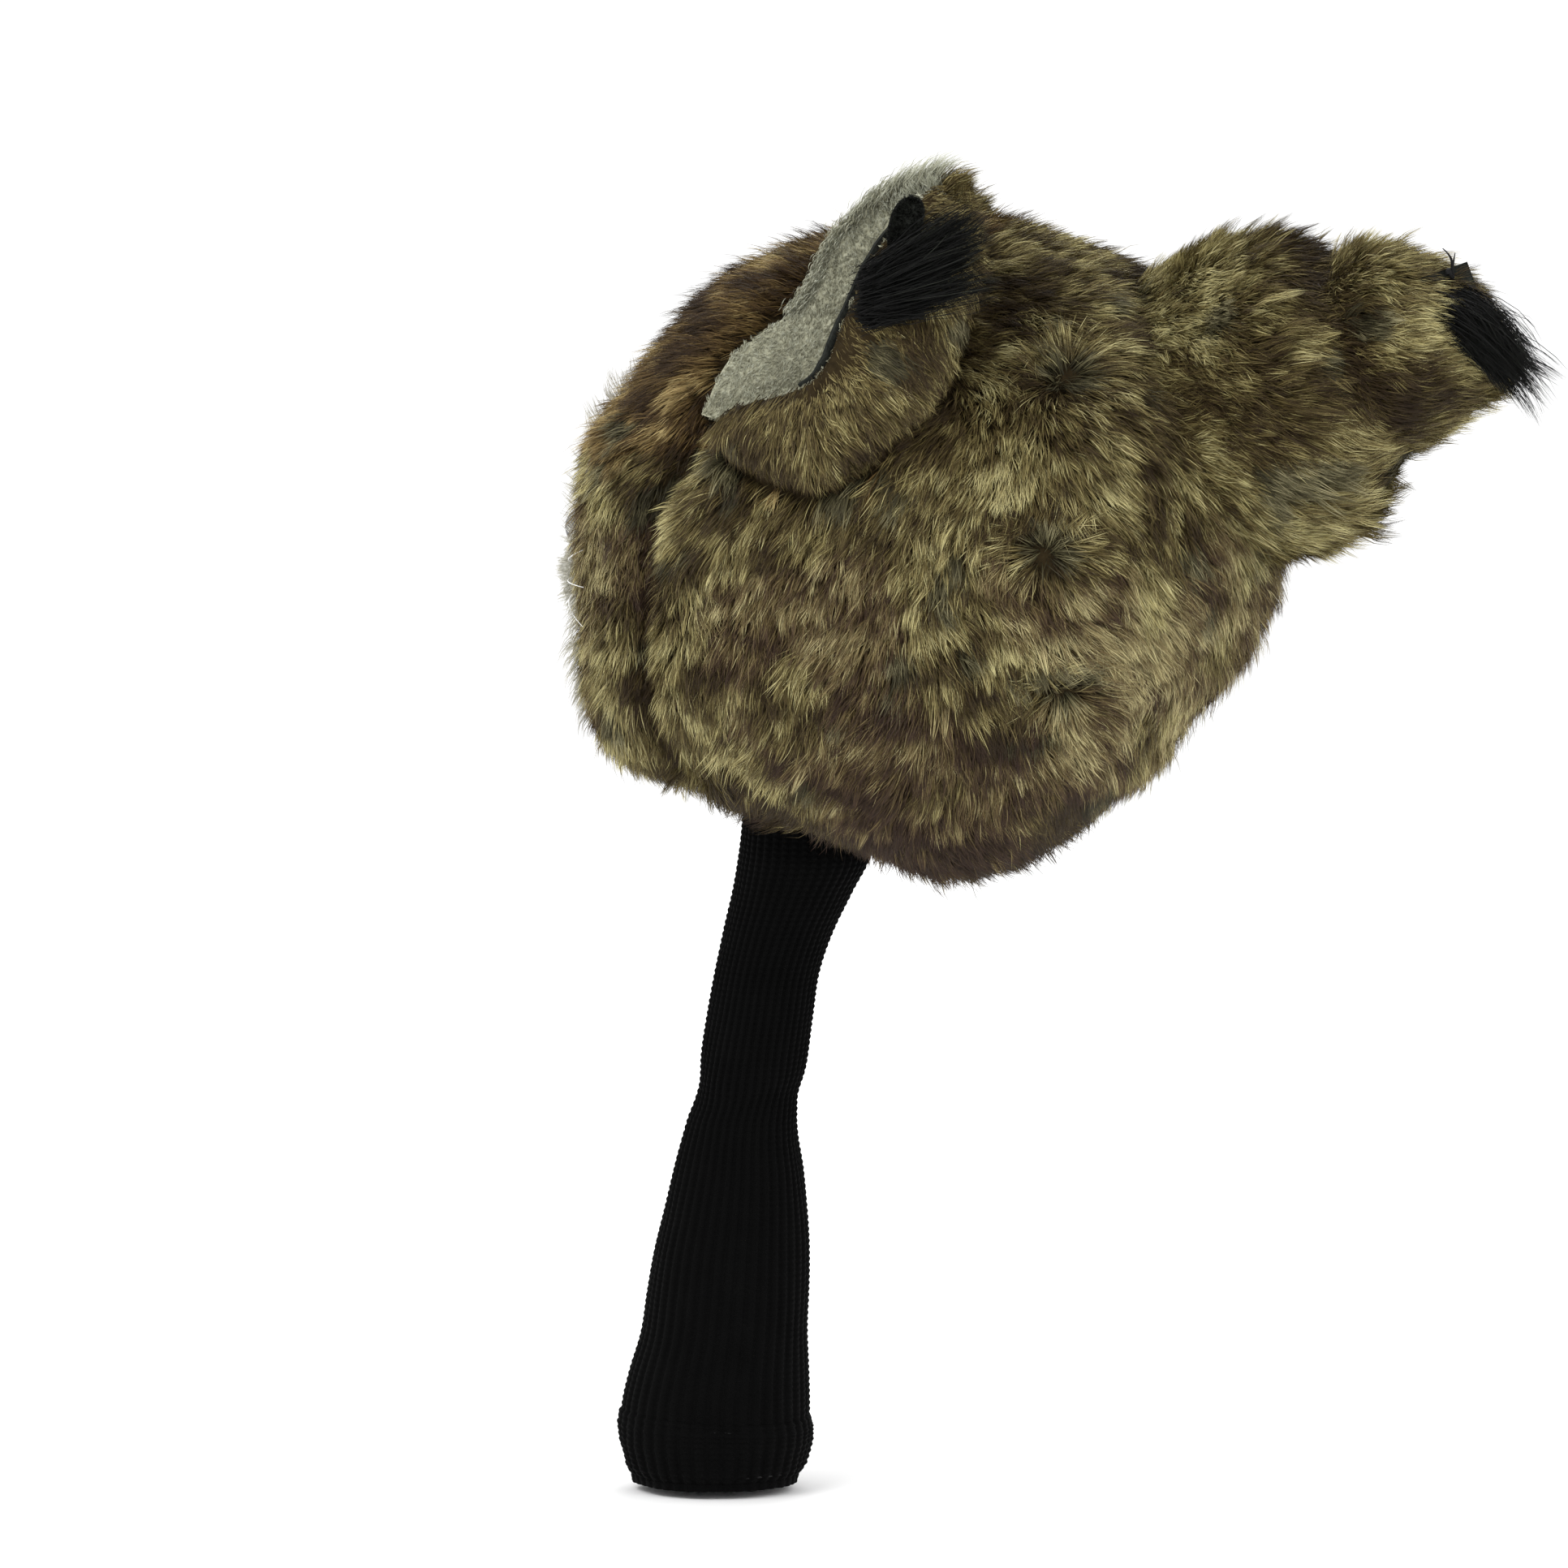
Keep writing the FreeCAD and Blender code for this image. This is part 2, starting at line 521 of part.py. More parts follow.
# thread knot standing on the patch's upper edge
f = doc.addObject("Part::Feature", "tail_thread_knot")
kn = tip_face + tail_up * (8.0 + ps - 2.0) + TAIL_DIR * (dim("patch_thick") + dim("knot_r") * 0.9)
ball = Part.makeSphere(dim("knot_r"), kn)
end_a = Part.makeCylinder(0.6, dim("knot_len"), kn, V(0.15, 0.1, 1))
slab = Part.makeBox(40, 40, dim("knot_r") * 0.9, V(-20, -20, 0))
slab.Placement = App.Placement(tip_face + TAIL_DIR * (dim("patch_thick") - dim("knot_r") * 0.9), TAIL_ROT)
f.Shape = ball.fuse(end_a).cut(slab)
f.Placement = App.Placement()
keep(f, "tail_thread_knot")
# long black hair falling over the end of the tail
b = doc.addObject("PartDesign::Body", "tail_tip_fur_whole")
sk = sketch_on(b, "tip_fur_profile", "XZ_Plane")
tb, tt, tl = dim("tailtuft_base"), dim("tailtuft_tip"), dim("tailtuft_len")
loop(sk, [(0, 0), (tb, 0), (0.75 * tb, 0.55 * tl), (tt, tl), (0, tl)],
     {(1, "x"): "Dims.tailtuft_base", (2, "x"): "0.75 * Dims.tailtuft_base", (2, "y"): "0.55 * Dims.tailtuft_len",
      (3, "x"): "Dims.tailtuft_tip", (3, "y"): "Dims.tailtuft_len", (4, "y"): "Dims.tailtuft_len"})
revolve(b, sk, "tip_fur_turn")
tuft_dir = V(0, 0.77, -0.64)
b.Placement = App.Placement(tip_face - tail_up * 6.5 - tuft_dir * 4.0, App.Rotation(V(0, 0, 1), tuft_dir))
# its root lies flat on the closed end of the tail, below the patch
blk = box("tail_end_block", -40, 40, -60, 60, -60, 0)
blk.Placement = App.Placement(tip_face, TAIL_ROT).multiply(App.Placement(V(-40, -60, -60), App.Rotation()))
slab2 = box("patch_block", -30, 30, 0, 40, -10, 60)
slab2.Placement = App.Placement(tip_face + tail_up * (8.0 - ps - 0.6), rot_from_axes(V(1, 0, 0), tail_up, V(1, 0, 0).cross(tail_up))).multiply(
    App.Placement(V(-30, 0, -30), App.Rotation()))
tf = cut("tip_fur_flush", b, blk)
tf2 = cut("tip_fur_clear", tf, slab2)
keep(tf2, "tail_tip_fur")

# ---------------------------------------------------------------- sock
UPPER = [(9.0, 0.0, 15.5), (-4.0, -0.6, 15.5), (-13.0, -3.7, 14.7), (-23.0, -7.4, 14.0), (-33.0, -10.3, 13.7),
         (-50.0, -13.6, 13.9), (-66.0, -16.2, 14.3)]
LOWER = [(-72.0, -16.8, 14.4), (-83.0, -17.4, 16.0), (-93.0, -18.2, 17.6), (-103.0, -19.2, 18.9),
         (-113.0, -20.0, 19.9), (-123.0, -20.9, 20.7), (-133.0, -22.4, 21.8), (-141.0, -23.2, 22.6)]


def knit_tube(label, stations, neck=None):
    body = doc.addObject("PartDesign::Body", label)
    outer, inner = [], []
    for k, (z, y, r) in enumerate(stations):
        so = sketch_on(body, "%s_out_%d" % (label, k), "XY_Plane", z)
        circle(so, 0, y, r)
        outer.append(so)
    lo = body.newObject("PartDesign::AdditiveLoft", label + "_loft")
    lo.Profile = outer[0]
    lo.Sections = outer[1:]
    lo.Ruled = False
    doc.recompute()
    v0 = body.Shape.Volume
    if neck:
        # narrow collar that reaches up inside the upper tube
        sn = sketch_on(body, label + "_collar", "XY_Plane", neck["z0"])
        circle(sn, 0, neck["y"], neck["r"])
        pn = body.newObject("PartDesign::Pad", label + "_collar_pad")
        pn.Profile = sn
        pn.Length = neck["len"]
        doc.recompute()
        v0 = body.Shape.Volume
    for k, (z, y, r) in enumerate(stations):
        si = sketch_on(body, "%s_in_%d" % (label, k), "XY_Plane", z)
        circle(si, 0, y, r - dim("knit_wall"), "%.3f - Dims.knit_wall" % r)
        inner.append(si)
    sl = body.newObject("PartDesign::SubtractiveLoft", label + "_hollow")
    sl.Profile = inner[0]
    sl.Sections = inner[1:]
    sl.Ruled = False
    doc.recompute()
    assert body.Shape.Volume < v0 - 100, label
    return body


keep(knit_tube("sock_upper", UPPER), "sock_upper")
b = knit_tube("sock_lower", LOWER, None)
# collar of the lower tube: same knit, drawn in at the fold
zt = LOWER[0][0]
ys = LOWER[0][1]
sc = sketch_on(b, "collar_flange", "XY_Plane", zt - 2.0)
circle(sc, 0, -16.8, 13.4)
circle(sc, 0, -16.8, 8.7)
pf = b.newObject("PartDesign::Pad", "flange_pad")
pf.Profile = sc
pf.Length = 2.0
sc = sketch_on(b, "collar_ring", "XY_Plane", zt - 1.0)
circle(sc, 0, -16.5, 10.7)
circle(sc, 0, -16.5, 8.7)
pc = b.newObject("PartDesign::Pad", "collar_pad")
pc.Profile = sc
pc.Length = 8.0
doc.recompute()
b.Tip = pc
keep(b, "sock_lower")

# hem: the knit turned back on itself, with a true round mouth
b = doc.addObject("PartDesign::Body", "cuff_hem")
sk = sketch_on(b, "hem_profile", "XZ_Plane")
ho, hi_, ht = dim("hem_outer"), dim("hem_inner"), dim("hem_tall")
bt, bh = dim("band_thick"), dim("band_tall")
mid = (ho + hi_) / 2
loop(sk, [(hi_, 0), (ho - 1.0, 0), (ho, 1.6), (ho, ht - 1.6), (ho - 1.0, ht), (hi_, ht)],
     {(0, "x"): "Dims.hem_inner", (1, "x"): "Dims.hem_outer - 1", (2, "x"): "Dims.hem_outer",
      (3, "x"): "Dims.hem_outer", (3, "y"): "Dims.hem_tall - 1.6", (4, "x"): "Dims.hem_outer - 1",
      (4, "y"): "Dims.hem_tall", (5, "x"): "Dims.hem_inner", (5, "y"): "Dims.hem_tall"})
revolve(b, sk, "hem_turn")
doc.recompute()
v0 = b.Shape.Volume
sk = sketch_on(b, "band_slot_profile", "XZ_Plane")
loop(sk, [(mid - bt / 2, 5.0), (mid + bt / 2, 5.0), (mid + bt / 2, 5.0 + bh), (mid - bt / 2, 5.0 + bh)])
gr = b.newObject("PartDesign::Groove", "band_slot")
gr.Profile = sk
gr.ReferenceAxis = (sk, ["V_Axis"])
gr.Angle = 360.0
doc.recompute()
assert b.Shape.Volume < v0 - 50
b.Placement = App.Placement(V(0, dim("hem_y"), dim("hem_top") - ht), App.Rotation())
keep(b, "cuff_hem")
b = doc.addObject("PartDesign::Body", "hem_elastic")
sk = sketch_on(b, "band_profile", "XZ_Plane")
loop(sk, [(mid - bt / 2, 5.0), (mid + bt / 2, 5.0), (mid + bt / 2, 5.0 + bh), (mid - bt / 2, 5.0 + bh)])
revolve(b, sk, "band_turn")
b.Placement = App.Placement(V(0, dim("hem_y"), dim("hem_top") - ht), App.Rotation())
keep(b, "hem_elastic")
# hem stitching: a ring of short thread stitches round the hem
f = doc.addObject("Part::Feature", "hem_stitching")
solids = []
n_st = 24
for k in range(n_st):
    a = 2 * math.pi * k / n_st
    rr = ho + dim("thread_r") + 0.02
    c = V(rr * math.cos(a), rr * math.sin(a), ht - 3.4)
    tdir = V(-math.sin(a), math.cos(a), 0)
    ln = 3.2
    solids.append(Part.makeCylinder(dim("thread_r"), ln, c - tdir * (ln / 2) + V(math.cos(a), math.sin(a), 0) * 0.0, tdir))
f.Shape = Part.makeCompound(solids)
f.Placement = App.Placement(V(0, dim("hem_y"), dim("hem_top") - ht), App.Rotation())
keep(f, "hem_stitching")

doc.recompute()

# ---------------------------------------------------------------- checks and files
bad = []
for obj in doc.Objects:
    st = [str(x) for x in (obj.State or [])]
    if any(x in ("Invalid", "Error") for x in st):
        bad.append("%s %s" % (obj.Name, st))
for obj in PARTS:
    shp = obj.Shape
    if shp.isNull() or not shp.isValid() or not shp.Solids:
        bad.append("%s has no valid solid" % obj.Label)
if bad:
    raise RuntimeError("; ".join(bad))

os.makedirs("parts", exist_ok=True)
for obj in PARTS:
    obj.Shape.exportStep(os.path.join("parts", obj.Label + ".step"))
    bb = obj.Shape.BoundBox
    print("%-22s solids %2d vol %9.1f  x %.1f..%.1f y %.1f..%.1f z %.1f..%.1f" % (
        obj.Label, len(obj.Shape.Solids), obj.Shape.Volume, bb.XMin, bb.XMax, bb.YMin, bb.YMax, bb.ZMin, bb.ZMax))
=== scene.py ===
import math

import bpy
import numpy as np
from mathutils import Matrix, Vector


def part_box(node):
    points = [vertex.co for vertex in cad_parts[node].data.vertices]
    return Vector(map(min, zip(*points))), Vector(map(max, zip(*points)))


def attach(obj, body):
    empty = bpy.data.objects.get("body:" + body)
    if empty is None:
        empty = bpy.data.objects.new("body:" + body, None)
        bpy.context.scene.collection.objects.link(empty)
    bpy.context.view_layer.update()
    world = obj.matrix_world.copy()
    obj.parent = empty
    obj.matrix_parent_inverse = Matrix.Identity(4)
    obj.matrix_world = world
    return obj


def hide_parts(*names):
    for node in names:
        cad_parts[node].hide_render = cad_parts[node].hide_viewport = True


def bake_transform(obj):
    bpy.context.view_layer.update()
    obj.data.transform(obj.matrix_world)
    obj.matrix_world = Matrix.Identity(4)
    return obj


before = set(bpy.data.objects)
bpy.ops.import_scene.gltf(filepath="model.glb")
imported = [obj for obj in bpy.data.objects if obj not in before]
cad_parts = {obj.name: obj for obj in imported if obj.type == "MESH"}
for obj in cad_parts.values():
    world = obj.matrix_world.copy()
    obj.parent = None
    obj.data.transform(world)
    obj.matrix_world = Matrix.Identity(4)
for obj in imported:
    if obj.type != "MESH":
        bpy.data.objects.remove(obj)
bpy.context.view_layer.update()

DENS = 1.0
PI = math.pi


# ------------------------------------------------------------------ helpers
def srgb(r, g, b):
    out = []
    for c in (r, g, b):
        c = c / 255.0
        out.append(c / 12.92 if c <= 0.04045 else ((c + 0.055) / 1.055) ** 2.4)
    return (out[0], out[1], out[2], 1.0)


def unit(a):
    return a / np.maximum(np.linalg.norm(a, axis=-1, keepdims=True), 1e-9)


def sstep(a, b, x):
    t = np.clip((x - a) / (b - a), 0, 1)
    return t * t * (3 - 2 * t)


def vnoise(P, seed=0):
    P = np.asarray(P, float)
    i = np.floor(P).astype(np.int64)
    f = P - i
    f = f * f * (3 - 2 * f)

    def h(dx, dy, dz):
        n = (i[..., 0] + dx) * 374761393 + (i[..., 1] + dy) * 668265263
        n = (n + (i[..., 2] + dz) * 2147483629 + seed * 1013904223) & 0xFFFFFFFF
        n = ((n ^ (n >> 13)) * 1274126177) & 0xFFFFFFFF
        n = ((n ^ (n >> 15)) * 2246822519) & 0xFFFFFFFF
        n = (n ^ (n >> 16)) & 0xFFFF
        return n / 32767.5 - 1.0

    fx, fy, fz = f[..., 0], f[..., 1], f[..., 2]
    a = h(0, 0, 0) * (1 - fx) + h(1, 0, 0) * fx
    b = h(0, 1, 0) * (1 - fx) + h(1, 1, 0) * fx
    c = h(0, 0, 1) * (1 - fx) + h(1, 0, 1) * fx
    d = h(0, 1, 1) * (1 - fx) + h(1, 1, 1) * fx
    return (a * (1 - fy) + b * fy) * (1 - fz) + (c * (1 - fy) + d * fy) * fz


def make_mesh(name, V, faces, mat=None, uv=None, smooth=True):
    """V in mm. faces: list of int arrays (n,k), each of one size."""
    me = bpy.data.meshes.new(name)
    V = np.asarray(V, float) * 0.001
    me.vertices.add(len(V))
    me.vertices.foreach_set("co", V.astype(np.float32).ravel())
    faces = [np.asarray(f, np.int32) for f in faces if len(f)]
    loops = np.concatenate([f.ravel() for f in faces])
    tot = np.concatenate([np.full(len(f), f.shape[1], np.int32) for f in faces])
    start = np.concatenate([[0], np.cumsum(tot)[:-1]]).astype(np.int32)
    assert loops.min() >= 0 and loops.max() < len(V), name
    me.loops.add(len(loops))
    me.loops.foreach_set("vertex_index", loops.astype(np.int32))
    me.polygons.add(len(tot))
    me.polygons.foreach_set("loop_start", start)
    me.polygons.foreach_set("use_smooth", np.full(len(tot), smooth, bool))
    me.update(calc_edges=True)
    if uv is not None:
        lay = me.uv_layers.new(name="OFBake")
        lay.data.foreach_set("uv", np.asarray(uv, np.float32).ravel())
    if mat is not None:
        for m in mat if isinstance(mat, (list, tuple)) else [mat]:
            me.materials.append(m)
    ob = bpy.data.objects.new(name, me)
    bpy.context.scene.collection.objects.link(ob)
    return ob


def grid_faces(nu, nv, cu=False, cv=False, flip=False, base=0):
    """Vertex index = u*nv + v."""
    u = np.arange(nu if cu else nu - 1)
    v = np.arange(nv if cv else nv - 1)
    U, Vv = np.meshgrid(u, v, indexing="ij")
    U2, V2 = (U + 1) % nu, (Vv + 1) % nv
    q = np.stack([U * nv + Vv, U2 * nv + Vv, U2 * nv + V2, U * nv + V2], -1)
    q = q.reshape(-1, 4)
    if flip:
        q = q[:, ::-1]
    return q + base


def vert_normals(V, Q):
    a = V[Q[:, 2]] - V[Q[:, 0]]
    b = V[Q[:, 3]] - V[Q[:, 1]]
    n = np.cross(a, b)
    out = np.zeros_like(V)
    for k in range(4):
        for j in range(3):
            out[:, j] += np.bincount(Q[:, k], weights=n[:, j], minlength=len(V))
    return unit(out)


def sample(V, Q, N, n, rng, extra=None):
    """Area samples on quads: position, normal and any per-vertex values."""
    a = np.linalg.norm(np.cross(V[Q[:, 2]] - V[Q[:, 0]], V[Q[:, 3]] - V[Q[:, 1]]), axis=1)
    p = a / a.sum()
    f = rng.choice(len(Q), n, p=p)
    s, t = rng.random(n)[:, None], rng.random(n)[:, None]

    def at(A):
        A = A if A.ndim == 2 else A[:, None]
        q = Q[f]
        return (A[q[:, 0]] * (1 - s) + A[q[:, 1]] * s) * (1 - t) + (
            A[q[:, 3]] * (1 - s) + A[q[:, 2]] * s
        ) * t

    out = [at(V), unit(at(N))]
    for e in extra or []:
        r = at(np.asarray(e, float))
        out.append(r if np.asarray(e).ndim == 2 else r[:, 0])
    return out


def rot_about(v, axis, ang):
    c, s = np.cos(ang)[:, None], np.sin(ang)[:, None]
    return v * c + np.cross(axis, v) * s + axis * (axis * v).sum(1)[:, None] * (1 - c)


def tangent(v, N):
    v = v - N * (v * N).sum(1)[:, None]
    return unit(v)


# ---------------------------------------------------------------- materials
def new_mat(name):
    m = bpy.data.materials.new(name)
    m.use_nodes = True
    nt = m.node_tree
    nt.nodes.clear()
    out = nt.nodes.new("ShaderNodeOutputMaterial")
    b = nt.nodes.new("ShaderNodeBsdfPrincipled")
    nt.links.new(b.outputs[0], out.inputs[0])
    return m, nt, b


def ramp(nt, fac, stops, interp="LINEAR"):
    r = nt.nodes.new("ShaderNodeValToRGB")
    r.color_ramp.interpolation = interp
    e = r.color_ramp.elements
    while len(e) > 1:
        e.remove(e[-1])
    e[0].position, e[0].color = stops[0]
    for p, c in stops[1:]:
        x = e.new(p)
        x.color = c
    nt.links.new(fac, r.inputs[0])
    return r.outputs[0]


def mth(nt, op, a, b=None):
    m = nt.nodes.new("ShaderNodeMath")
    m.operation = op
    for i, x in enumerate((a, b)):
        if x is None:
            continue
        if isinstance(x, (int, float)):
            m.inputs[i].default_value = x
        else:
            nt.links.new(x, m.inputs[i])
    return m.outputs[0]


def mix(nt, fac, a, b, mode="MIX"):
    m = nt.nodes.new("ShaderNodeMix")
    m.data_type = "RGBA"
    m.blend_type = mode
    for i, x in ((0, fac), (6, a), (7, b)):
        if isinstance(x, (int, float)):
            m.inputs[i].default_value = x
        elif isinstance(x, tuple):
            m.inputs[i].default_value = x
        else:
            nt.links.new(x, m.inputs[i])
    return m.outputs[2]


def noise(nt, scale, detail=3.0, rough=0.55, coord=None):
    t = nt.nodes.new("ShaderNodeTexNoise")
    t.inputs["Scale"].default_value = scale
    t.inputs["Detail"].default_value = detail
    t.inputs["Roughness"].default_value = rough
    if coord is None:
        c = nt.nodes.new("ShaderNodeTexCoord")
        coord = c.outputs["Object"]
    nt.links.new(coord, t.inputs["Vector"])
    return t.outputs["Fac"]


def bump(nt, b, height, strength=0.4, dist=0.0005):
    n = nt.nodes.new("ShaderNodeBump")
    n.inputs["Strength"].default_value = strength
    n.inputs["Distance"].default_value = dist
    nt.links.new(height, n.inputs["Height"])
    nt.links.new(n.outputs[0], b.inputs["Normal"])


def mat_strands(name, rows, rough=0.6, spec=0.18, vary=0.25, sheen=0.0):
    """rows: list of (root, mid stops, tip stops). The strand's own map gives
    u = (row + position along the strand)/rows and v = tone."""
    m, nt, b = new_mat(name)
    uvn = nt.nodes.new("ShaderNodeUVMap")
    uvn.uv_map = "OFBake"
    sep = nt.nodes.new("ShaderNodeSeparateXYZ")
    nt.links.new(uvn.outputs[0], sep.inputs[0])
    k = mth(nt, "MULTIPLY", sep.outputs[0], float(len(rows)))
    row = mth(nt, "FLOOR", k)
    s = mth(nt, "FRACT", k)
    v = sep.outputs[1]
    col = None
    for i, (root, mid, tip) in enumerate(rows):
        cm = ramp(nt, v, mid)
        ct = ramp(nt, v, tip)
        f1 = ramp(nt, s, [(0.04, (0, 0, 0, 1)), (0.5, (1, 1, 1, 1))])
        f2 = ramp(nt, s, [(0.5, (0, 0, 0, 1)), (0.78, (1, 1, 1, 1))])
        c = mix(nt, f1, root, cm)
        c = mix(nt, f2, c, ct)
        if col is None:
            col = c
        else:
            w = mth(nt, "GREATER_THAN", row, i - 0.5)
            col = mix(nt, w, col, c)
    n = noise(nt, 900.0, 2.0)
    g = ramp(nt, n, [(0.3, (1 - vary, 1 - vary, 1 - vary, 1)), (0.7, (1, 1, 1, 1))])
    col = mix(nt, 1.0, col, g, "MULTIPLY")
    nt.links.new(col, b.inputs["Base Color"])
    b.inputs["Roughness"].default_value = rough
    b.inputs["Specular IOR Level"].default_value = spec
    if sheen:
        b.inputs["Sheen Weight"].default_value = sheen
    return m


def mat_cloth(name, c0, c1, scale=700.0, rough=0.9, spec=0.1, bumpy=0.4, sheen=0.0, dist=0.0004):
    m, nt, b = new_mat(name)
    n = noise(nt, scale, 4.0, 0.6)
    n2 = noise(nt, scale / 9.0, 2.0)
    mixn = mth(nt, "ADD", mth(nt, "MULTIPLY", n, 0.7), mth(nt, "MULTIPLY", n2, 0.3))
    nt.links.new(ramp(nt, mixn, [(0.3, c0), (0.7, c1)]), b.inputs["Base Color"])
    b.inputs["Roughness"].default_value = rough
    b.inputs["Specular IOR Level"].default_value = spec
    if sheen:
        b.inputs["Sheen Weight"].default_value = sheen
    if bumpy:
        bump(nt, b, n, bumpy, dist)
    return m


WARM = (
    srgb(34, 26, 14),
    [(0.0, srgb(54, 42, 20)), (0.5, srgb(108, 95, 56)), (1.0, srgb(160, 148, 104))],
    [(0.0, srgb(44, 32, 20)), (0.35, srgb(70, 57, 34)), (0.6, srgb(124, 111, 68)), (0.8, srgb(178, 167, 112)), (1.0, srgb(214, 205, 150))],
)
COOL = (
    srgb(34, 31, 20),
    [(0.0, srgb(50, 46, 30)), (0.5, srgb(80, 75, 50)), (1.0, srgb(120, 114, 82))],
    [(0.0, srgb(50, 46, 32)), (0.5, srgb(94, 88, 62)), (1.0, srgb(168, 160, 122))],
)
PLUM = (
    srgb(34, 25, 16),
    [(0.0, srgb(54, 40, 28)), (0.5, srgb(104, 89, 53)), (1.0, srgb(158, 144, 104))],
    [(0.0, srgb(50, 35, 27)), (0.4, srgb(74, 56, 41)), (0.7, srgb(134, 118, 77)), (1.0, srgb(206, 195, 144))],
)
RUST = (
    srgb(30, 21, 10),
    [(0.0, srgb(60, 44, 22)), (0.5, srgb(118, 95, 55)), (1.0, srgb(164, 142, 94))],
    [(0.0, srgb(44, 30, 16)), (0.35, srgb(70, 51, 27)), (0.65, srgb(130, 108, 64)), (1.0, srgb(196, 176, 122))],
)
M_FUR = mat_strands("fur_brown", [WARM, COOL, PLUM, RUST])
FR = 4
BLK = (
    srgb(12, 12, 11),
    [(0.0, srgb(7, 7, 6)), (0.7, srgb(13, 14, 12)), (1.0, srgb(34, 36, 30))],
    [(0.0, srgb(7, 7, 6)), (0.7, srgb(16, 17, 14)), (1.0, srgb(54, 57, 48))],
)
M_BLACKFUR = mat_strands("fur_black", [BLK], rough=0.6, spec=0.12)
GREY = (
    srgb(120, 118, 98),
    [(0.0, srgb(132, 130, 108)), (0.5, srgb(168, 167, 145)), (1.0, srgb(204, 206, 188))],
    [(0.0, srgb(140, 138, 116)), (0.5, srgb(180, 180, 158)), (1.0, srgb(216, 218, 200))],
)
M_PILE = mat_strands("grey_pile_hair", [GREY], rough=0.8, spec=0.08)
WHITE = (
    srgb(190, 186, 172),
    [(0.0, srgb(205, 202, 190)), (0.5, srgb(226, 224, 214)), (1.0, srgb(240, 240, 234))],
    [(0.0, srgb(215, 212, 200)), (0.5, srgb(234, 233, 226)), (1.0, srgb(246, 246, 242))],
)
M_WHITEFUR = mat_strands("white_plush_hair", [WHITE], rough=0.75, spec=0.1, vary=0.08)

M_SKIN = mat_cloth("fur_backing", srgb(30, 24, 14), srgb(52, 43, 27), 500, 0.95, 0.05, 0.5)
M_PILEBASE = mat_cloth("grey_pile_cloth", srgb(126, 124, 103), srgb(186, 186, 164), 620, 0.95, 0.05, 0.8)
M_WHITEBASE = mat_cloth("white_plush_cloth", srgb(196, 193, 182), srgb(228, 226, 218), 600, 0.95, 0.05, 0.6)
M_WAD = mat_cloth("wadding_cloth", srgb(205, 203, 196), srgb(235, 234, 230), 260, 0.95, 0.05, 0.7)
M_LINING = mat_cloth("lining_cloth", srgb(30, 30, 30), srgb(52, 52, 50), 1500, 0.7, 0.2, 0.3)
M_FELT = mat_cloth("black_felt_cloth", srgb(20, 21, 19), srgb(46, 48, 44), 1300, 0.95, 0.05, 0.7)
M_ELASTIC = mat_cloth("elastic_tape", srgb(24, 24, 24), srgb(44, 44, 44), 1800, 0.8, 0.1, 0.5)
M_THREAD = mat_cloth("black_thread_mat", srgb(5, 5, 5), srgb(12, 12, 12), 3000, 0.7, 0.2, 0.5)
M_WASHER = mat_cloth("washer_plastic_mat", srgb(196, 194, 188), srgb(214, 212, 206), 90, 0.4, 0.5, 0.05)
M_WHISKER = mat_cloth("whisker_mat", srgb(226, 226, 222), srgb(240, 240, 238), 300, 0.35, 0.5, 0.05)


def mat_knit(name):
    m, nt, b = new_mat(name)
    n = noise(nt, 1500.0, 4.0, 0.65)
    n2 = noise(nt, 120.0, 2.0)
    n3 = noise(nt, 5200.0, 1.0)
    f = mth(nt, "ADD", mth(nt, "MULTIPLY", n, 0.55), mth(nt, "MULTIPLY", n2, 0.45))
    c = ramp(nt, f, [(0.3, srgb(1, 1, 1)), (0.62, srgb(4, 4, 4)), (0.85, srgb(11, 11, 10))])
    nt.links.new(c, b.inputs["Base Color"])
    b.inputs["Roughness"].default_value = 0.85
    b.inputs["Specular IOR Level"].default_value = 0.06
    b.inputs["Sheen Weight"].default_value = 0.0
    bump(nt, b, mth(nt, "ADD", n, n3), 0.5, 0.0002)
    return m


M_KNIT = mat_knit("black_rib_knit")


def mat_nose():
    m, nt, b = new_mat("nose_plastic_mat")
    v = nt.nodes.new("ShaderNodeTexVoronoi")
    v.inputs["Scale"].default_value = 900.0
    c = nt.nodes.new("ShaderNodeTexCoord")
    nt.links.new(c.outputs["Object"], v.inputs["Vector"])
    nt.links.new(ramp(nt, v.outputs[0], [(0.0, srgb(20, 17, 16)), (1.0, srgb(42, 34, 32))]), b.inputs["Base Color"])
    b.inputs["Roughness"].default_value = 0.32
    b.inputs["Specular IOR Level"].default_value = 0.5
    bump(nt, b, v.outputs[0], 0.35, 0.0003)
    return m


M_NOSE = mat_nose()


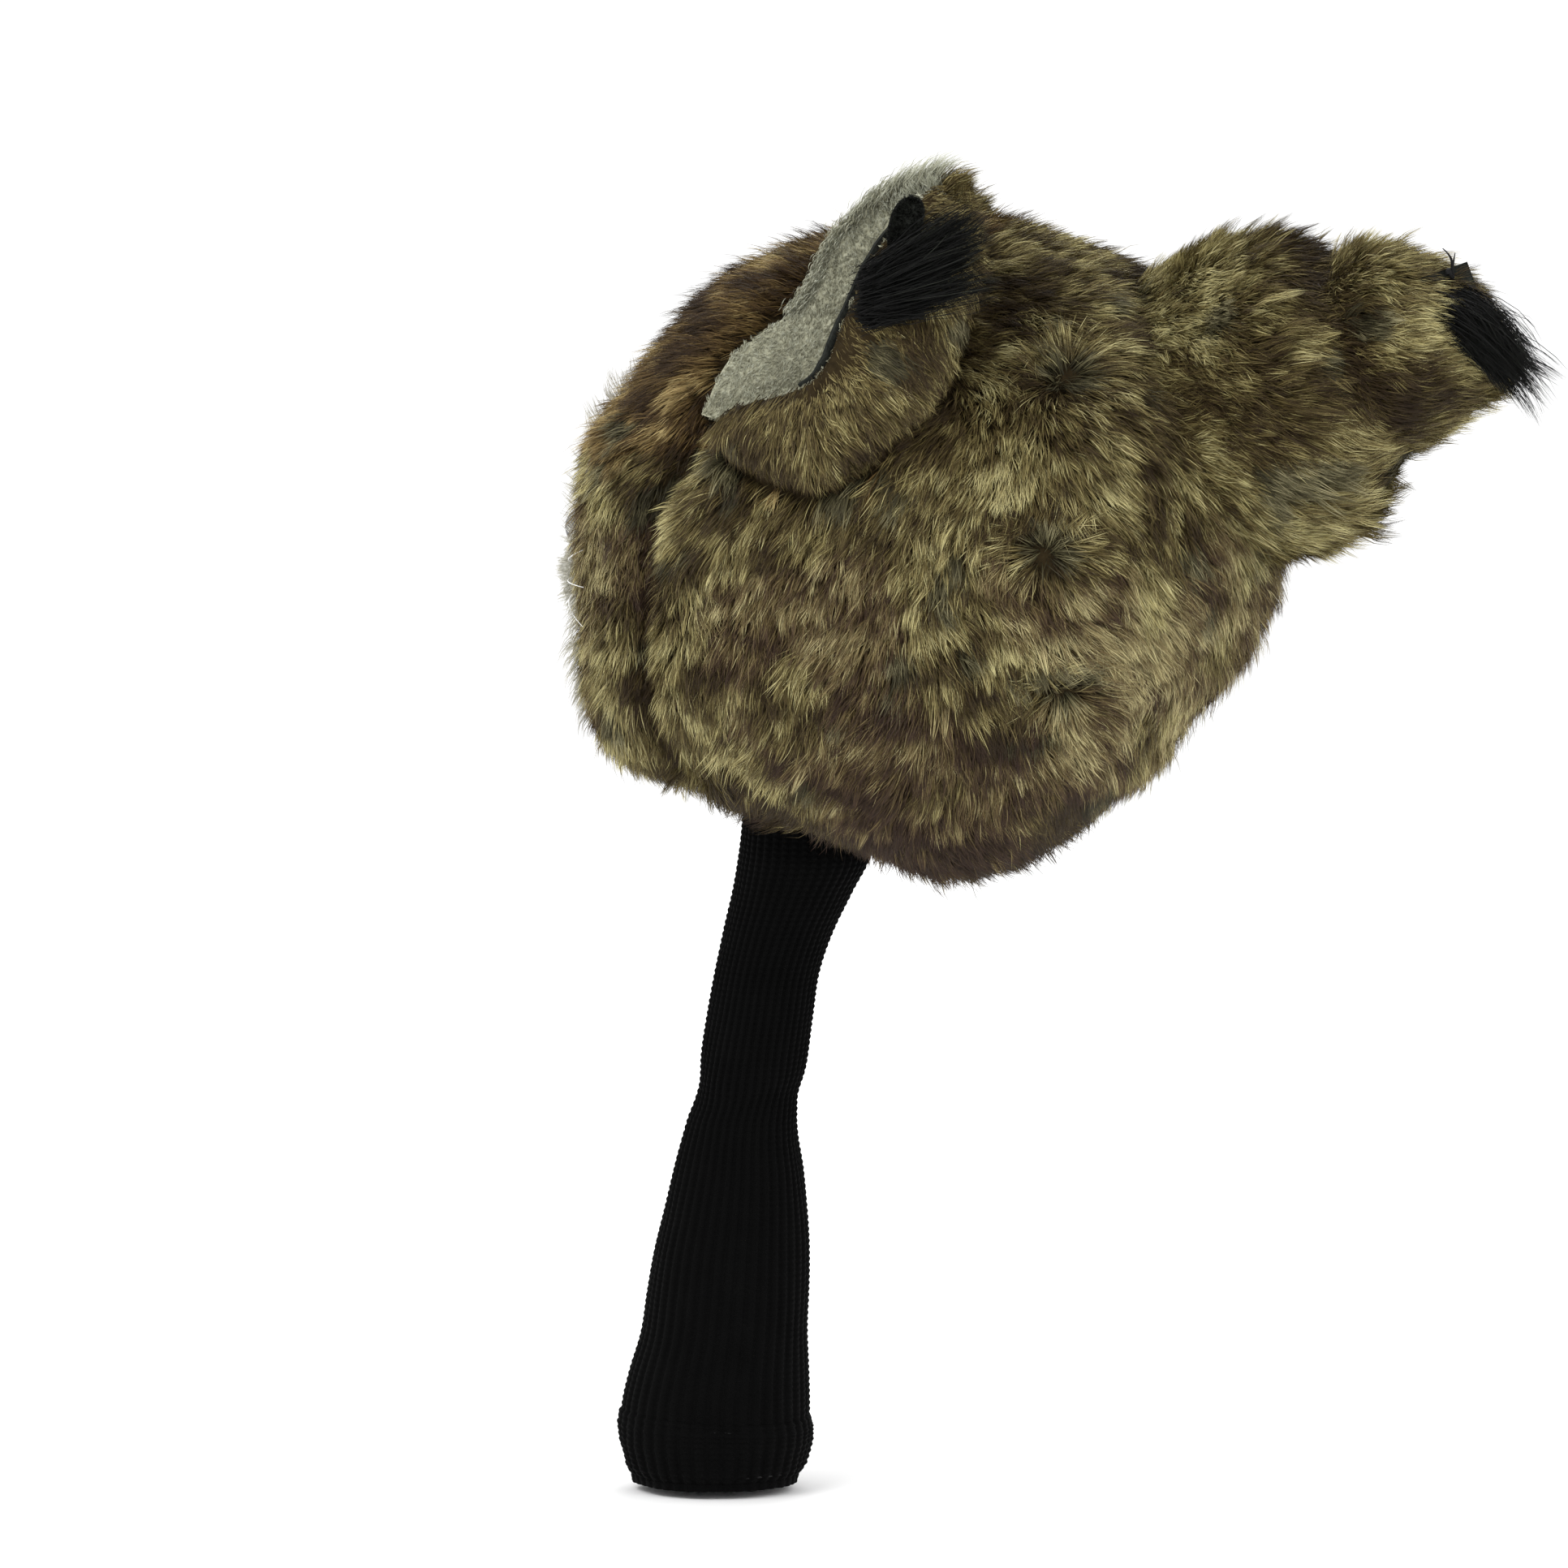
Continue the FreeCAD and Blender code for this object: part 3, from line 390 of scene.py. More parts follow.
def mat_eye():
    """Colour bands by the distance from the eye's axis, held in the map."""
    m, nt, b = new_mat("eye_plastic_mat")
    uvn = nt.nodes.new("ShaderNodeUVMap")
    uvn.uv_map = "eye"
    sep = nt.nodes.new("ShaderNodeSeparateXYZ")
    nt.links.new(uvn.outputs[0], sep.inputs[0])
    n = noise(nt, 600.0, 3.0, 0.6, uvn.outputs[0])
    r = mth(nt, "ADD", sep.outputs[0], mth(nt, "MULTIPLY", mth(nt, "SUBTRACT", n, 0.5), 0.05))
    c = ramp(
        nt,
        r,
        [
            (0.0, srgb(6, 6, 6)),
            (0.40, srgb(6, 6, 6)),
            (0.44, srgb(84, 58, 14)),
            (0.62, srgb(190, 146, 44)),
            (0.80, srgb(206, 164, 60)),
            (0.88, srgb(90, 62, 20)),
            (0.93, srgb(10, 9, 8)),
        ],
    )
    nt.links.new(c, b.inputs["Base Color"])
    b.inputs["Roughness"].default_value = 0.08
    b.inputs["Specular IOR Level"].default_value = 0.6
    b.inputs["Coat Weight"].default_value = 0.6
    return m


M_EYE = mat_eye()

SLOT_MATS = {
    "face_panel": M_SKIN, "side_panel_left": M_SKIN, "side_panel_right": M_SKIN,
    "crown_panel": M_SKIN, "under_panel": M_SKIN, "padding_left": M_WAD, "padding_right": M_WAD,
    "inner_lining_left": M_LINING, "inner_lining_right": M_LINING, "muzzle_cover": M_WHITEBASE,
    "muzzle_filling": M_WAD, "nose": M_NOSE, "eye_left": M_EYE, "eye_right": M_EYE,
    "eye_washer_left": M_WASHER, "eye_washer_right": M_WASHER, "whiskers_left": M_WHISKER,
    "whiskers_right": M_WHISKER, "neck_elastic": M_ELASTIC, "hem_elastic": M_ELASTIC,
    "hem_stitching": M_THREAD, "tail_thread_knot": M_THREAD, "tail_end_patch": M_FELT,
    "tail_root_filling": M_WAD, "tail_filling": M_WAD, "tail_root_sleeve": M_SKIN,
    "tail_sleeve": M_SKIN, "tail_tip_fur": M_BLACKFUR, "sock_upper": M_KNIT,
    "sock_lower": M_KNIT, "cuff_hem": M_KNIT,
}
for side in ("left", "right"):
    SLOT_MATS["ear_lining_" + side] = M_PILEBASE
    SLOT_MATS["ear_back_" + side] = M_SKIN
    SLOT_MATS["ear_edge_strip_" + side] = M_FELT
    SLOT_MATS["ear_tip_tab_" + side] = M_FELT
    SLOT_MATS["ear_tuft_" + side] = M_BLACKFUR
for nm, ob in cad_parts.items():
    ob.data.materials.clear()
    ob.data.materials.append(SLOT_MATS[nm])


# -------------------------------------------------------------- fur strands
TRI_CAP = 195000


def strands(name, body, P, D0, D1, L, W, V, H, rows, mat, N, rng, clump=None, conv=0.55, seg=3, spin=0.9):
    """Tapered ribbons. Returns the objects made, each under the face limit."""
    n = len(P)
    pts = np.empty((seg + 1, n, 3))
    pts[0] = P
    for k in range(seg):
        t = k / max(seg - 1, 1)
        pts[k + 1] = pts[k] + unit(D0 * (1 - t) + D1 * t) * (L / seg)[:, None]
    if clump is not None:
        nc = int(clump.max()) + 1
        cnt = np.maximum(np.bincount(clump, minlength=nc), 1)
        for k in range(1, seg + 1):
            m = np.stack([np.bincount(clump, weights=pts[k][:, j], minlength=nc) / cnt for j in range(3)], 1)
            pts[k] += conv * (k / seg) ** 1.3 * (m[clump] - pts[k])
    T = unit(pts[-1] - pts[0])
    S = unit(np.cross(T, N))
    S = rot_about(S, T, rng.uniform(-spin, spin, n))
    prof = [1.0, 0.9, 0.66, 0.45, 0.3, 0.2]
    nv = 2 * seg + 1
    Vx = np.empty((n, nv, 3))
    for k in range(seg):
        w = (W * 0.5 * prof[min(int(round(k * 3 / seg)), 5)])[:, None]
        Vx[:, 2 * k] = pts[k] - S * w
        Vx[:, 2 * k + 1] = pts[k] + S * w
    Vx[:, nv - 1] = pts[seg]
    loc, lv = [], []
    for k in range(seg - 1):
        loc += [2 * k, 2 * k + 1, 2 * k + 3, 2 * k + 2]
    loc += [2 * seg - 2, 2 * seg - 1, 2 * seg]
    loc = np.array(loc)
    lev = np.minimum(loc // 2, seg) / seg
    sizes = np.array([4] * (seg - 1) + [3])
    per = 2 * (seg - 1) + 1
    cap = TRI_CAP // per
    order = rng.permutation(n) if n > cap else np.arange(n)
    made = []
    pieces = max(1, math.ceil(n / cap))
    for c in range(pieces):
        ids = order[c::pieces]
        m = len(ids)
        me = bpy.data.meshes.new(name)
        me.vertices.add(m * nv)
        me.vertices.foreach_set("co", (Vx[ids] * 0.001).astype(np.float32).ravel())
        li = (np.arange(m)[:, None] * nv + loc[None]).astype(np.int32).ravel()
        me.loops.add(len(li))
        me.loops.foreach_set("vertex_index", li)
        st = np.concatenate([[0], np.cumsum(sizes)[:-1]])
        st = (np.arange(m)[:, None] * len(loc) + st[None]).astype(np.int32).ravel()
        me.polygons.add(len(st))
        me.polygons.foreach_set("loop_start", st)
        me.polygons.foreach_set("use_smooth", np.ones(len(st), bool))
        me.update(calc_edges=True)
        lay = me.uv_layers.new(name="OFBake")
        u = (H[ids][:, None] + 0.02 + 0.96 * lev[None]) / rows
        side = np.where(loc == 2 * seg, 0.0, np.where(loc % 2 == 0, -1.0, 1.0))
        v = np.clip(V[ids], 0.02, 0.98)[:, None] + 0.008 * side[None]
        lay.data.foreach_set("uv", np.stack([u, v], -1).astype(np.float32).ravel())
        me.materials.append(mat)
        ob = bpy.data.objects.new(name if pieces == 1 else "%s_%02d" % (name, c + 1), me)
        bpy.context.scene.collection.objects.link(ob)
        if body:
            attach(ob, body)
        made.append(ob)
    return made


def coat(name, body, V, Q, N, count, rng, flow, length, tone, hue=None, rows=3, mat=None, width=0.34,
         K=9, spread=1.5, a0=36, a1=76, conv=0.55, keep=None, extra=None, jit=0.22, lift=None, seg=3):
    """Clumped pile over a surface. flow, length, tone and hue are functions of
    the clump's position and normal."""
    count = int(count * DENS)
    nc = max(8, count // K)
    smp = sample(V, Q, N, nc, rng, extra)
    P, Nn, ex = smp[0], smp[1], smp[2:]
    if keep is not None:
        ok = keep(P, Nn, *ex)
        P, Nn, ex = P[ok], Nn[ok], [e[ok] for e in ex]
    nc = len(P)
    F = tangent(flow(P, Nn, *ex), Nn)
    Lc = length(P, Nn, *ex) * rng.uniform(0.82, 1.15, nc)
    Tc = tone(P, Nn, *ex) + rng.normal(0, 0.15, nc)
    Hc = hue(P, Nn, *ex) if hue is not None else np.zeros(nc)
    Lf = lift(P, Nn, *ex) if lift is not None else np.zeros(nc)
    F = rot_about(F, Nn, rng.normal(0, jit, nc))
    cid = np.repeat(np.arange(nc), K)
    n = len(cid)
    B = np.cross(Nn, F)
    o1 = rng.normal(0, spread * 0.62, n)[:, None]
    o2 = rng.normal(0, spread * 0.62, n)[:, None]
    R = P[cid] + F[cid] * o1 + B[cid] * o2 - Nn[cid] * 0.5
    Fs = rot_about(F[cid], Nn[cid], rng.normal(0, 0.20, n))
    A0 = np.radians(a0 + rng.normal(0, 8, n) - Lf[cid])
    A1 = np.radians(a1 + rng.normal(0, 9, n) - Lf[cid])
    D0 = Nn[cid] * np.cos(A0)[:, None] + Fs * np.sin(A0)[:, None]
    D1 = Nn[cid] * np.cos(A1)[:, None] + Fs * np.sin(A1)[:, None]
    L = Lc[cid] * rng.uniform(0.72, 1.12, n)
    stray = rng.random(n) < 0.012
    L = np.where(stray, L * 1.35, L)
    W = width * rng.uniform(0.75, 1.2, n)
    Vt = Tc[cid] + rng.normal(0, 0.14, n)
    return strands(name, body, R, D0, D1, L, W, Vt, Hc[cid], rows, mat, Nn[cid], rng, cid, conv, seg)


# --------------------------------------------------------------------- ears
EF = np.array([(62, -11, 110), (56, -4.5, 124), (47, 10.5, 136.5), (46, 19.5, 153), (51, 34.5, 163), (56, 46.5, 166.5)], float)
EN = np.array([(72, -1.4, 112.2), (80, 21.2, 120.2), (79, 29.6, 136.8), (74, 37.2, 153.2), (65, 44, 162.5), (58, 47.5, 167)], float)
EK = np.array([(68, -5.0, 109.6), (71, 18, 100), (67, 41, 116), (61, 50, 138), (59, 52, 156), (57, 48.5, 166)], float)
ET = np.array([0, 0.25, 0.5, 0.75, 0.92, 1.0])


def spline(ts, Pp, t):
    """Cubic Hermite with finite-difference slopes."""
    m = np.gradient(Pp, ts, axis=0)
    i = np.clip(np.searchsorted(ts, t, side="right") - 1, 0, len(ts) - 2)
    h = (ts[i + 1] - ts[i])
    u = ((t - ts[i]) / h)[:, None]
    h = h[:, None]
    return ((2 * u ** 3 - 3 * u ** 2 + 1) * Pp[i] + (u ** 3 - 2 * u ** 2 + u) * h * m[i]
            + (-2 * u ** 3 + 3 * u ** 2) * Pp[i + 1] + (u ** 3 - u ** 2) * h * m[i + 1])


def ear_surface(nt_=70, ns_=48):
    t = np.linspace(0, 1, nt_)
    F, Nn, K = spline(ET, EF, t), spline(ET, EN, t), spline(ET, EK, t)
    s = np.linspace(0, 1, ns_)
    ctl = 2 * K - 0.5 * (F + Nn)
    Pp = (F[:, None] * ((1 - s) ** 2)[None, :, None] + ctl[:, None] * (2 * s * (1 - s))[None, :, None]
          + Nn[:, None] * (s ** 2)[None, :, None])
    return Pp, F, Nn, K, t, s


PE, FE, NE, KE, te, se = ear_surface()
nt_, ns_ = PE.shape[:2]
Vi = PE.reshape(-1, 3)
Qi = grid_faces(nt_, ns_)
Ni = vert_normals(Vi, Qi)
conc = (0.5 * (FE + NE) - KE)
if (Ni.reshape(nt_, ns_, 3)[:, ns_ // 2] * conc).sum() < 0:
    Qi, Ni = Qi[:, ::-1], -Ni
Ni = unit(Ni)
Vi_, Ni_ = Vi, Ni
SS = np.tile(se, nt_)
TT = np.repeat(te, ns_)
thick = 2.4 * np.sqrt(np.clip(1 - (2 * SS - 1) ** 8, 0, 1)) * np.sqrt(np.clip(1 - TT ** 10, 0, 1)) + 0.15
Vo = Vi - Ni * thick[:, None]
Qo = Qi[:, ::-1]



def ear_warp(P, side):
    """The right ear is the mirror of the left, its tip laid a little forward."""
    if side == "left":
        return P
    P = P.copy()
    k = sstep(108, 166, P[:, 2])
    P[:, 1] -= 24.0 * k
    P[:, 2] -= 14.0 * k
    P[:, 0] = -(P[:, 0] + 5.0 * k)
    return P


# --------------------------------------------------------------------- head
C = np.array([0.0, 28.0, 73.0])
OUT = np.array([
    (-56.5, 93), (-57.5, 80), (-57.5, 65), (-57.5, 50), (-56.5, 38), (-55, 30), (-49, 20), (-36, 15), (-25, 10.5),
    (-15, 6.5), (0, 1), (17, -5), (38, -11), (60, -3.5), (76, 8), (90, 20), (93.5, 27), (99.5, 34), (107, 41),
    (117, 60), (121, 80), (118, 100), (109, 118), (97, 132), (88, 140), (68, 150), (51, 155), (30, 156),
    (8, 153), (-10, 147), (-29, 134.5), (-42.5, 115.5), (-52.5, 103)], float)
_th = np.arctan2(OUT[:, 1] - C[2], OUT[:, 0] - C[1])
_rr = np.hypot(OUT[:, 1] - C[2], OUT[:, 0] - C[1])
_g = np.linspace(-PI, PI, 721)[:-1]
_R = np.interp(_g, _th[np.argsort(_th)], _rr[np.argsort(_th)], period=2 * PI)
_k = np.exp(-0.5 * (np.arange(-12, 13) / 4.0) ** 2)
_k /= _k.sum()
_R = np.convolve(np.concatenate([_R[-12:], _R, _R[:12]]), _k, "valid")
SEAM = np.array([(-20, -5), (-23, 22), (-27, 32), (-26, 60), (-25, 85), (-11, 108), (0, 126), (15, 139), (24, 150), (30, 160)], float)


def seam_dist(Y, Z):
    d = np.full(Y.shape, 1e9)
    for a, b in zip(SEAM[:-1], SEAM[1:]):
        ab = b - a
        t = np.clip(((Y - a[0]) * ab[0] + (Z - a[1]) * ab[1]) / (ab @ ab), 0, 1)
        d = np.minimum(d, np.hypot(Y - a[0] - t * ab[0], Z - a[1] - t * ab[1]))
    return d


def head_t(D):
    rho = np.maximum(np.hypot(D[..., 1], D[..., 2]), 1e-6)
    th = np.arctan2(D[..., 2], D[..., 1])
    R = np.interp(th, _g, _R, period=2 * PI)
    p = 2.3
    return ((np.abs(D[..., 0]) / 78.0) ** p + (rho / R) ** p) ** (-1 / p)


def ell_t(D, r):
    return ((D / np.array(r)) ** 2).sum(-1) ** -0.5


def skin_t(D, inset=6.7):
    t = head_t(D) - inset
    P = C + D * t[..., None]
    g = np.exp(-((seam_dist(P[..., 1], P[..., 2]) / 4.6) ** 2)) * sstep(12, 30, np.abs(P[..., 0]))
    t = t - 8.5 * g
    lump = vnoise(P / 26.0, 5) * 1.6 + vnoise(P / 13.0, 6) * 0.7
    return t + lump


def sphere_dirs(nu, nv):
    """Pole along X."""
    a = np.linspace(0, PI, nu + 2)[1:-1]
    b = np.linspace(0, 2 * PI, nv, endpoint=False)
    A, B = np.meshgrid(a, b, indexing="ij")
    D = np.stack([np.cos(A), np.sin(A) * np.cos(B), np.sin(A) * np.sin(B)], -1)
    return D.reshape(-1, 3)


def ball(nu, nv, tfun, centre=C):
    D = np.concatenate([sphere_dirs(nu, nv), [[1, 0, 0], [-1, 0, 0]]])
    V = centre + D * tfun(D)[:, None]
    Q = grid_faces(nu, nv, cv=True)
    a = nu * nv
    j = np.arange(nv)
    T = np.concatenate([
        np.stack([np.full(nv, a), j, (j + 1) % nv], 1),
        np.stack([np.full(nv, a + 1), (nu - 1) * nv + (j + 1) % nv, (nu - 1) * nv + j], 1)])
    return V, Q, T


V, Q, T = ball(150, 220, skin_t)


def ear_near(P, side):
    """Distance to the ear's inner face, which side of it a point is on, and
    how far it lies outside the mouth between the two lips."""
    sub = np.arange(nt_ * ns_).reshape(nt_, ns_)[:60:2, ::3]
    kt = sub.ravel() // ns_
    W_, n_ = ear_warp(Vi[sub.ravel()], side), Ni[sub.ravel()].copy()
    Fw, Nw, Kw = ear_warp(FE, side), ear_warp(NE, side), ear_warp(KE, side)
    if side == "right":
        n_[:, 0] *= -1
    ids = np.where((P[:, 0] * (1 if side == "left" else -1) > 30) & (np.abs(P[:, 1] - 15) < 50) & (P[:, 2] > 85))[0]
    if len(ids) == 0:
        z = np.zeros(0)
        return ids, z, z, z, ids
    d = np.linalg.norm(P[ids][:, None] - W_[None], axis=2)
    k = d.argmin(1)
    m_ = 0.5 * (Fw + Nw)
    cd = unit(m_ - Kw)
    over = ((P[ids] - m_[kt[k]]) * cd[kt[k]]).sum(1)
    return ids, d.min(1), ((P[ids] - W_[k]) * n_[k]).sum(1), over, sub.ravel()[k]


for side in ("left", "right"):
    ids, dm, sd_, over, kk = ear_near(V, side)
    go = (dm < 26) & (sd_ > -2.5) & (over < 4)
    tgt_ = ear_warp(Vi[kk[go]] - Ni[kk[go]] * 4.5, side)
    V[ids[go]] = tgt_
Nh = vert_normals(V, Q)
if ((V - C) * Nh).sum() < 0:
    Q, T, Nh = Q[:, ::-1], T[:, ::-1], -Nh
Nh[-2:] = [[1, 0, 0], [-1, 0, 0]]


def throat_cut(F):
    c = V[F].mean(1)
    return ~((np.hypot(c[:, 0], c[:, 1] + 0.6) < 17.0) & (c[:, 2] < 30))


Qh = Q[throat_cut(Q)]
head = make_mesh("head_cover_skin", V, [Qh, T], M_SKIN)
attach(head, "head")
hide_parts("face_panel", "side_panel_left", "side_panel_right", "crown_panel", "under_panel")

WH = np.array([(75.6, 78.8), (76.0, 119.5), (76.0, 43.9)])


def head_flow(P, N):
    X, Y, Z = P.T
    side = np.sign(X)
    v = np.zeros_like(P)
    v[:, 2] = -1
    fwd = -0.45 * sstep(-16, -4, Y) * (1 - sstep(30, 52, Y)) * (1 - sstep(88, 104, Z))
    back = 0.42 * sstep(58, 86, Y) + 0.25 * sstep(90, 110, Y)
    v[:, 1] = fwd + back
    top = sstep(108, 128, Z)
    tv = np.stack([0.25 * side, np.where(Y < 15, -1.0, np.where(Y > 35, 1.0, (Y - 25) / 10.0)), -0.25 * np.ones_like(Y)], 1)
    v = v * (1 - top)[:, None] + tv * top[:, None]
    low = 1 - sstep(4, 22, Z)
    v = v + low[:, None] * np.stack([-0.3 * side, 0.5 * np.sign(Y - 10), 0 * Y], 1)
    f = tangent(v, N)
    ang = 0.62 * vnoise(P / 22.0, 1) + 0.42 * vnoise(P / 9.0, 2)
    f = rot_about(f, N, ang)
    w = np.zeros(len(P))
    rad = np.zeros_like(P)
    for y, z in WH:
        d = np.hypot(Y - y, (Z - z) * 1.25)
        k = np.exp(-((d / 10.0) ** 2))
        rad += k[:, None] * np.stack([0 * Y, (Y - y), (Z - z)], 1) / np.maximum(d, 1)[:, None]
        w = np.maximum(w, k)
    rad[:, 2] += 0.15 * w
    f = tangent(f * (1 - w)[:, None] + rad * 1.3, N)
    return f


def whorl(P):
    w = np.zeros(len(P))
    for i, (y, z) in enumerate(WH):
        d = np.hypot(P[:, 1] - y - 1.5 * vnoise(P / 5.0, 31), (P[:, 2] - z) * 1.3)
        w = np.maximum(w, np.exp(-((d / (6.5 if i < 2 else 4.5)) ** 2)))
    return w


def head_tone(P, N):
    X, Y, Z = P.T
    q = P * np.array([1, 1, 1.6])
    t = 0.46 + 0.20 * vnoise(q / 21.0, 11) + 0.42 * vnoise(q / 9.5, 12) + 0.44 * vnoise(q / 4.0, 13)
    # painted shade: darker fur in front of the ears' base and under their overhang, a little on the upper face too
    t -= 0.21 * sstep(88, 112, Z) * (1 - sstep(20, 60, Y)) * sstep(-38, -26, Y) + 0.06 * sstep(88, 108, Z) * (1 - sstep(-38, -26, Y))
    t -= 0.12 * sstep(95, 115, Z) * sstep(20, 45, Y) * (1 - sstep(138, 148, Z))
    t += 0.06 * sstep(138, 150, Z)
    # painted shade: fur darker towards the bottom of the head
    t -= 0.40 * (1 - sstep(2, 34, Z))
    t += 0.25 * (1 - sstep(-40, -24, Y))
    t += 0.18 * sstep(70, 95, Y)
    # painted shade: darker fur along the seam crease between the face and side panels
    g = np.exp(-((seam_dist(Y, Z) / 3.5) ** 2)) * sstep(14, 34, np.abs(X))
    t -= 0.45 * g
    edge = np.exp(-(((seam_dist(Y, Z) - 8.0) / 3.5) ** 2)) * (Y > -26) * (Z < 100)
    t += 0.16 * edge
    return t - 0.03 + 0.16 * whorl(P)


def head_hue(P, N):
    h = np.zeros(len(P))
    plum = (1 - sstep(70, 100, P[:, 2])) * (0.5 + 0.9 * vnoise(P / 16.0, 21))
    h = np.where(plum > 0.42, 2.0, h)
    rust = sstep(84, 112, P[:, 2]) * (1 - sstep(28, 64, P[:, 1])) + 0.45 * vnoise(P / 12.0, 23)
    h = np.where(rust > 0.55, 3.0, h)
    cool = 0.7 * vnoise(P / 13.0, 24) + 0.4 * vnoise(P / 5.0, 25)
    h = np.where(cool > 0.52, 1.0, h)
    return np.where(whorl(P) > 0.72, 1.0, h)


def head_len(P, N):
    L = 9.2 + 1.3 * vnoise(P / 14.0, 41)
    g = np.exp(-((seam_dist(P[:, 1], P[:, 2]) / 4.0) ** 2)) * sstep(14, 34, np.abs(P[:, 0]))
    L = L * (1 - 0.45 * g)
    face = sstep(-38, -50, P[:, 1])
    return L * (1 - 0.12 * face)


def head_keep(P, N):
    a = np.hypot(P[:, 0], P[:, 1] + 0.6) > 17.5
    a |= P[:, 2] > 30
    b = ~((P[:, 1] < -40) & (np.hypot(P[:, 0] / 22.0, (P[:, 2] - 62) / 17.0) < 1.0))
    for s in (-1, 1):
        b &= ~((P[:, 1] < -30) & (np.hypot(P[:, 0] - 22.5 * s, P[:, 2] - 92.5) < 6.2))
    for side in ("left", "right"):
        ids, dm, sd_, over, kk = ear_near(P + N * 3.0, side)
        b[ids[(dm < 7.5) | ((dm < 20) & (sd_ > -3.0) & (over < 2.0))]] = False
    return a & b


def head_lift(P, N):
    d = np.min([np.hypot(P[:, 1] - y, P[:, 2] - z) for y, z in WH], 0)
    return 9.0 * vnoise(P / 7.0, 51) + 13.0 * np.exp(-((d / 4.5) ** 2))


rng = np.random.default_rng(7)
coat("head_fur", "head", V, Qh, Nh, 380000, rng, head_flow, head_len, head_tone, head_hue, FR, M_FUR,
     width=0.23, K=7, spread=1.1, a0=42, a1=71, conv=0.42, keep=head_keep, lift=head_lift)
# longer pile that makes the ragged outline
coat("head_fur_long", "head", V, Qh, Nh, 26000, np.random.default_rng(8), head_flow,
     lambda P, N: head_len(P, N) * 1.22, lambda P, N: head_tone(P, N) + 0.05, head_hue, FR, M_FUR,
     width=0.22, K=5, spread=1.1, a0=32, a1=62, conv=0.35, keep=head_keep)


coat("head_fur_locks", "head", V, Qh, Nh, 26000, np.random.default_rng(9), head_flow,
     lambda P, N: head_len(P, N) * 1.25, lambda P, N: head_tone(P, N) + 0.02, head_hue, FR, M_FUR,
     width=0.22, K=13, spread=1.5, a0=34, a1=64, conv=0.85, keep=head_keep)


def whorl_keep(P, N):
    d = np.min([np.hypot(P[:, 1] - y, P[:, 2] - z) for y, z in WH], 0)
    return (d < 8.5) & (np.abs(P[:, 0]) > 30)


coat("whorl_hair", "head", V, Qh, Nh, 30000, np.random.default_rng(10), head_flow,
     lambda P, N: 11.0 + 0 * P[:, 0], lambda P, N: 0.85 + 0 * P[:, 0], None, FR, M_FUR,
     width=0.2, K=3, spread=1.5, a0=48, a1=74, conv=0.1, keep=whorl_keep)


# padding and lining under the pile
def shell(name, tf_out, tf_in, side, mat, nu=60, nv=96):
    """Closed half shell on one side of X=0."""
    a = np.linspace(0.0, PI / 2, nu)
    b = np.linspace(0, 2 * PI, nv, endpoint=False)
    A, B = np.meshgrid(a, b, indexing="ij")
    D = np.stack([np.cos(A) * side, np.sin(A) * np.cos(B), np.sin(A) * np.sin(B)], -1).reshape(-1, 3)
    Vo = C + D * tf_out(D)[:, None]
    Vi = C + D * tf_in(D)[:, None]
    Vo[:, 0] = np.where(side * Vo[:, 0] < 0.3, 0.3 * side, Vo[:, 0])
    Vi[:, 0] = np.where(side * Vi[:, 0] < 0.3, 0.3 * side, Vi[:, 0])
    n = len(D)
    flip = side < 0
    if name.startswith("head_padding"):
        sn = "left" if side > 0 else "right"
        ids, dm, sd_, over, kk = ear_near(Vo, sn)
        go = (dm < 26) & (sd_ > -6.5) & (over < 6)
        Vo[ids[go]] = ear_warp(Vi_[kk[go]] - Ni_[kk[go]] * 6.5, sn)
        mv = ids[go]
        Vi[mv] = np.where(np.linalg.norm(Vo[mv] - C, axis=1, keepdims=True) < np.linalg.norm(Vi[mv] - C, axis=1, keepdims=True) + 0.6,
                          C + (Vo[mv] - C) * 0.97, Vi[mv])
    q1 = grid_faces(nu, nv, cv=True, flip=flip)
    q2 = grid_faces(nu, nv, cv=True, flip=not flip, base=n)
    keep = ~((np.hypot(Vo[q1, 0].mean(1), Vo[q1, 1].mean(1)) < 22) & (Vo[q1, 2].mean(1) < 40))
    q1, q2 = q1[keep], q2[keep]
    j = np.arange(nv)
    o = (nu - 1) * nv
    rim = np.stack([o + j, o + (j + 1) % nv, n + o + (j + 1) % nv, n + o + j], 1)
    mid = 0.5 * (Vo + Vi)[rim[:, 0]]
    rim = rim[~((np.hypot(mid[:, 0], mid[:, 1]) < 22) & (mid[:, 2] < 40))]
    return make_mesh(name, np.concatenate([Vo, Vi]), [q1, q2, rim], mat)


def pad_out(D):
    t = skin_t(D) - 0.8
    near = np.zeros(len(D))
    Pd = C + D * t[:, None]
    for sd in ("left", "right"):
        ids, dm = ear_near(Pd, sd)[:2]
        near[ids[dm < 22]] = 1.0
    return np.maximum(t - 1.6 * near, ell_t(D, (61.5, 69.5, 66.5)) + 0.9)


for side, s in (("left", 1), ("right", -1)):
    p = shell("head_padding_" + side, pad_out, lambda D: ell_t(D, (61.2, 69.2, 66.2)) + 0.4, s, M_WAD)
    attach(p, "head")
    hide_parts("padding_" + side)

    def lin_out(D):
        return ell_t(D, (60.9, 68.9, 65.9)) + 0.25 * vnoise(D * 14.0, 61)

    def lin_in(D):
        return ell_t(D, (59.9, 67.9, 64.9)) + 0.6 * np.minimum(0, vnoise(D * 9.0, 62))

    p = shell("head_lining_" + side, lin_out, lin_in, s, M_LINING)
    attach(p, "head")
    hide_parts("inner_lining_" + side)


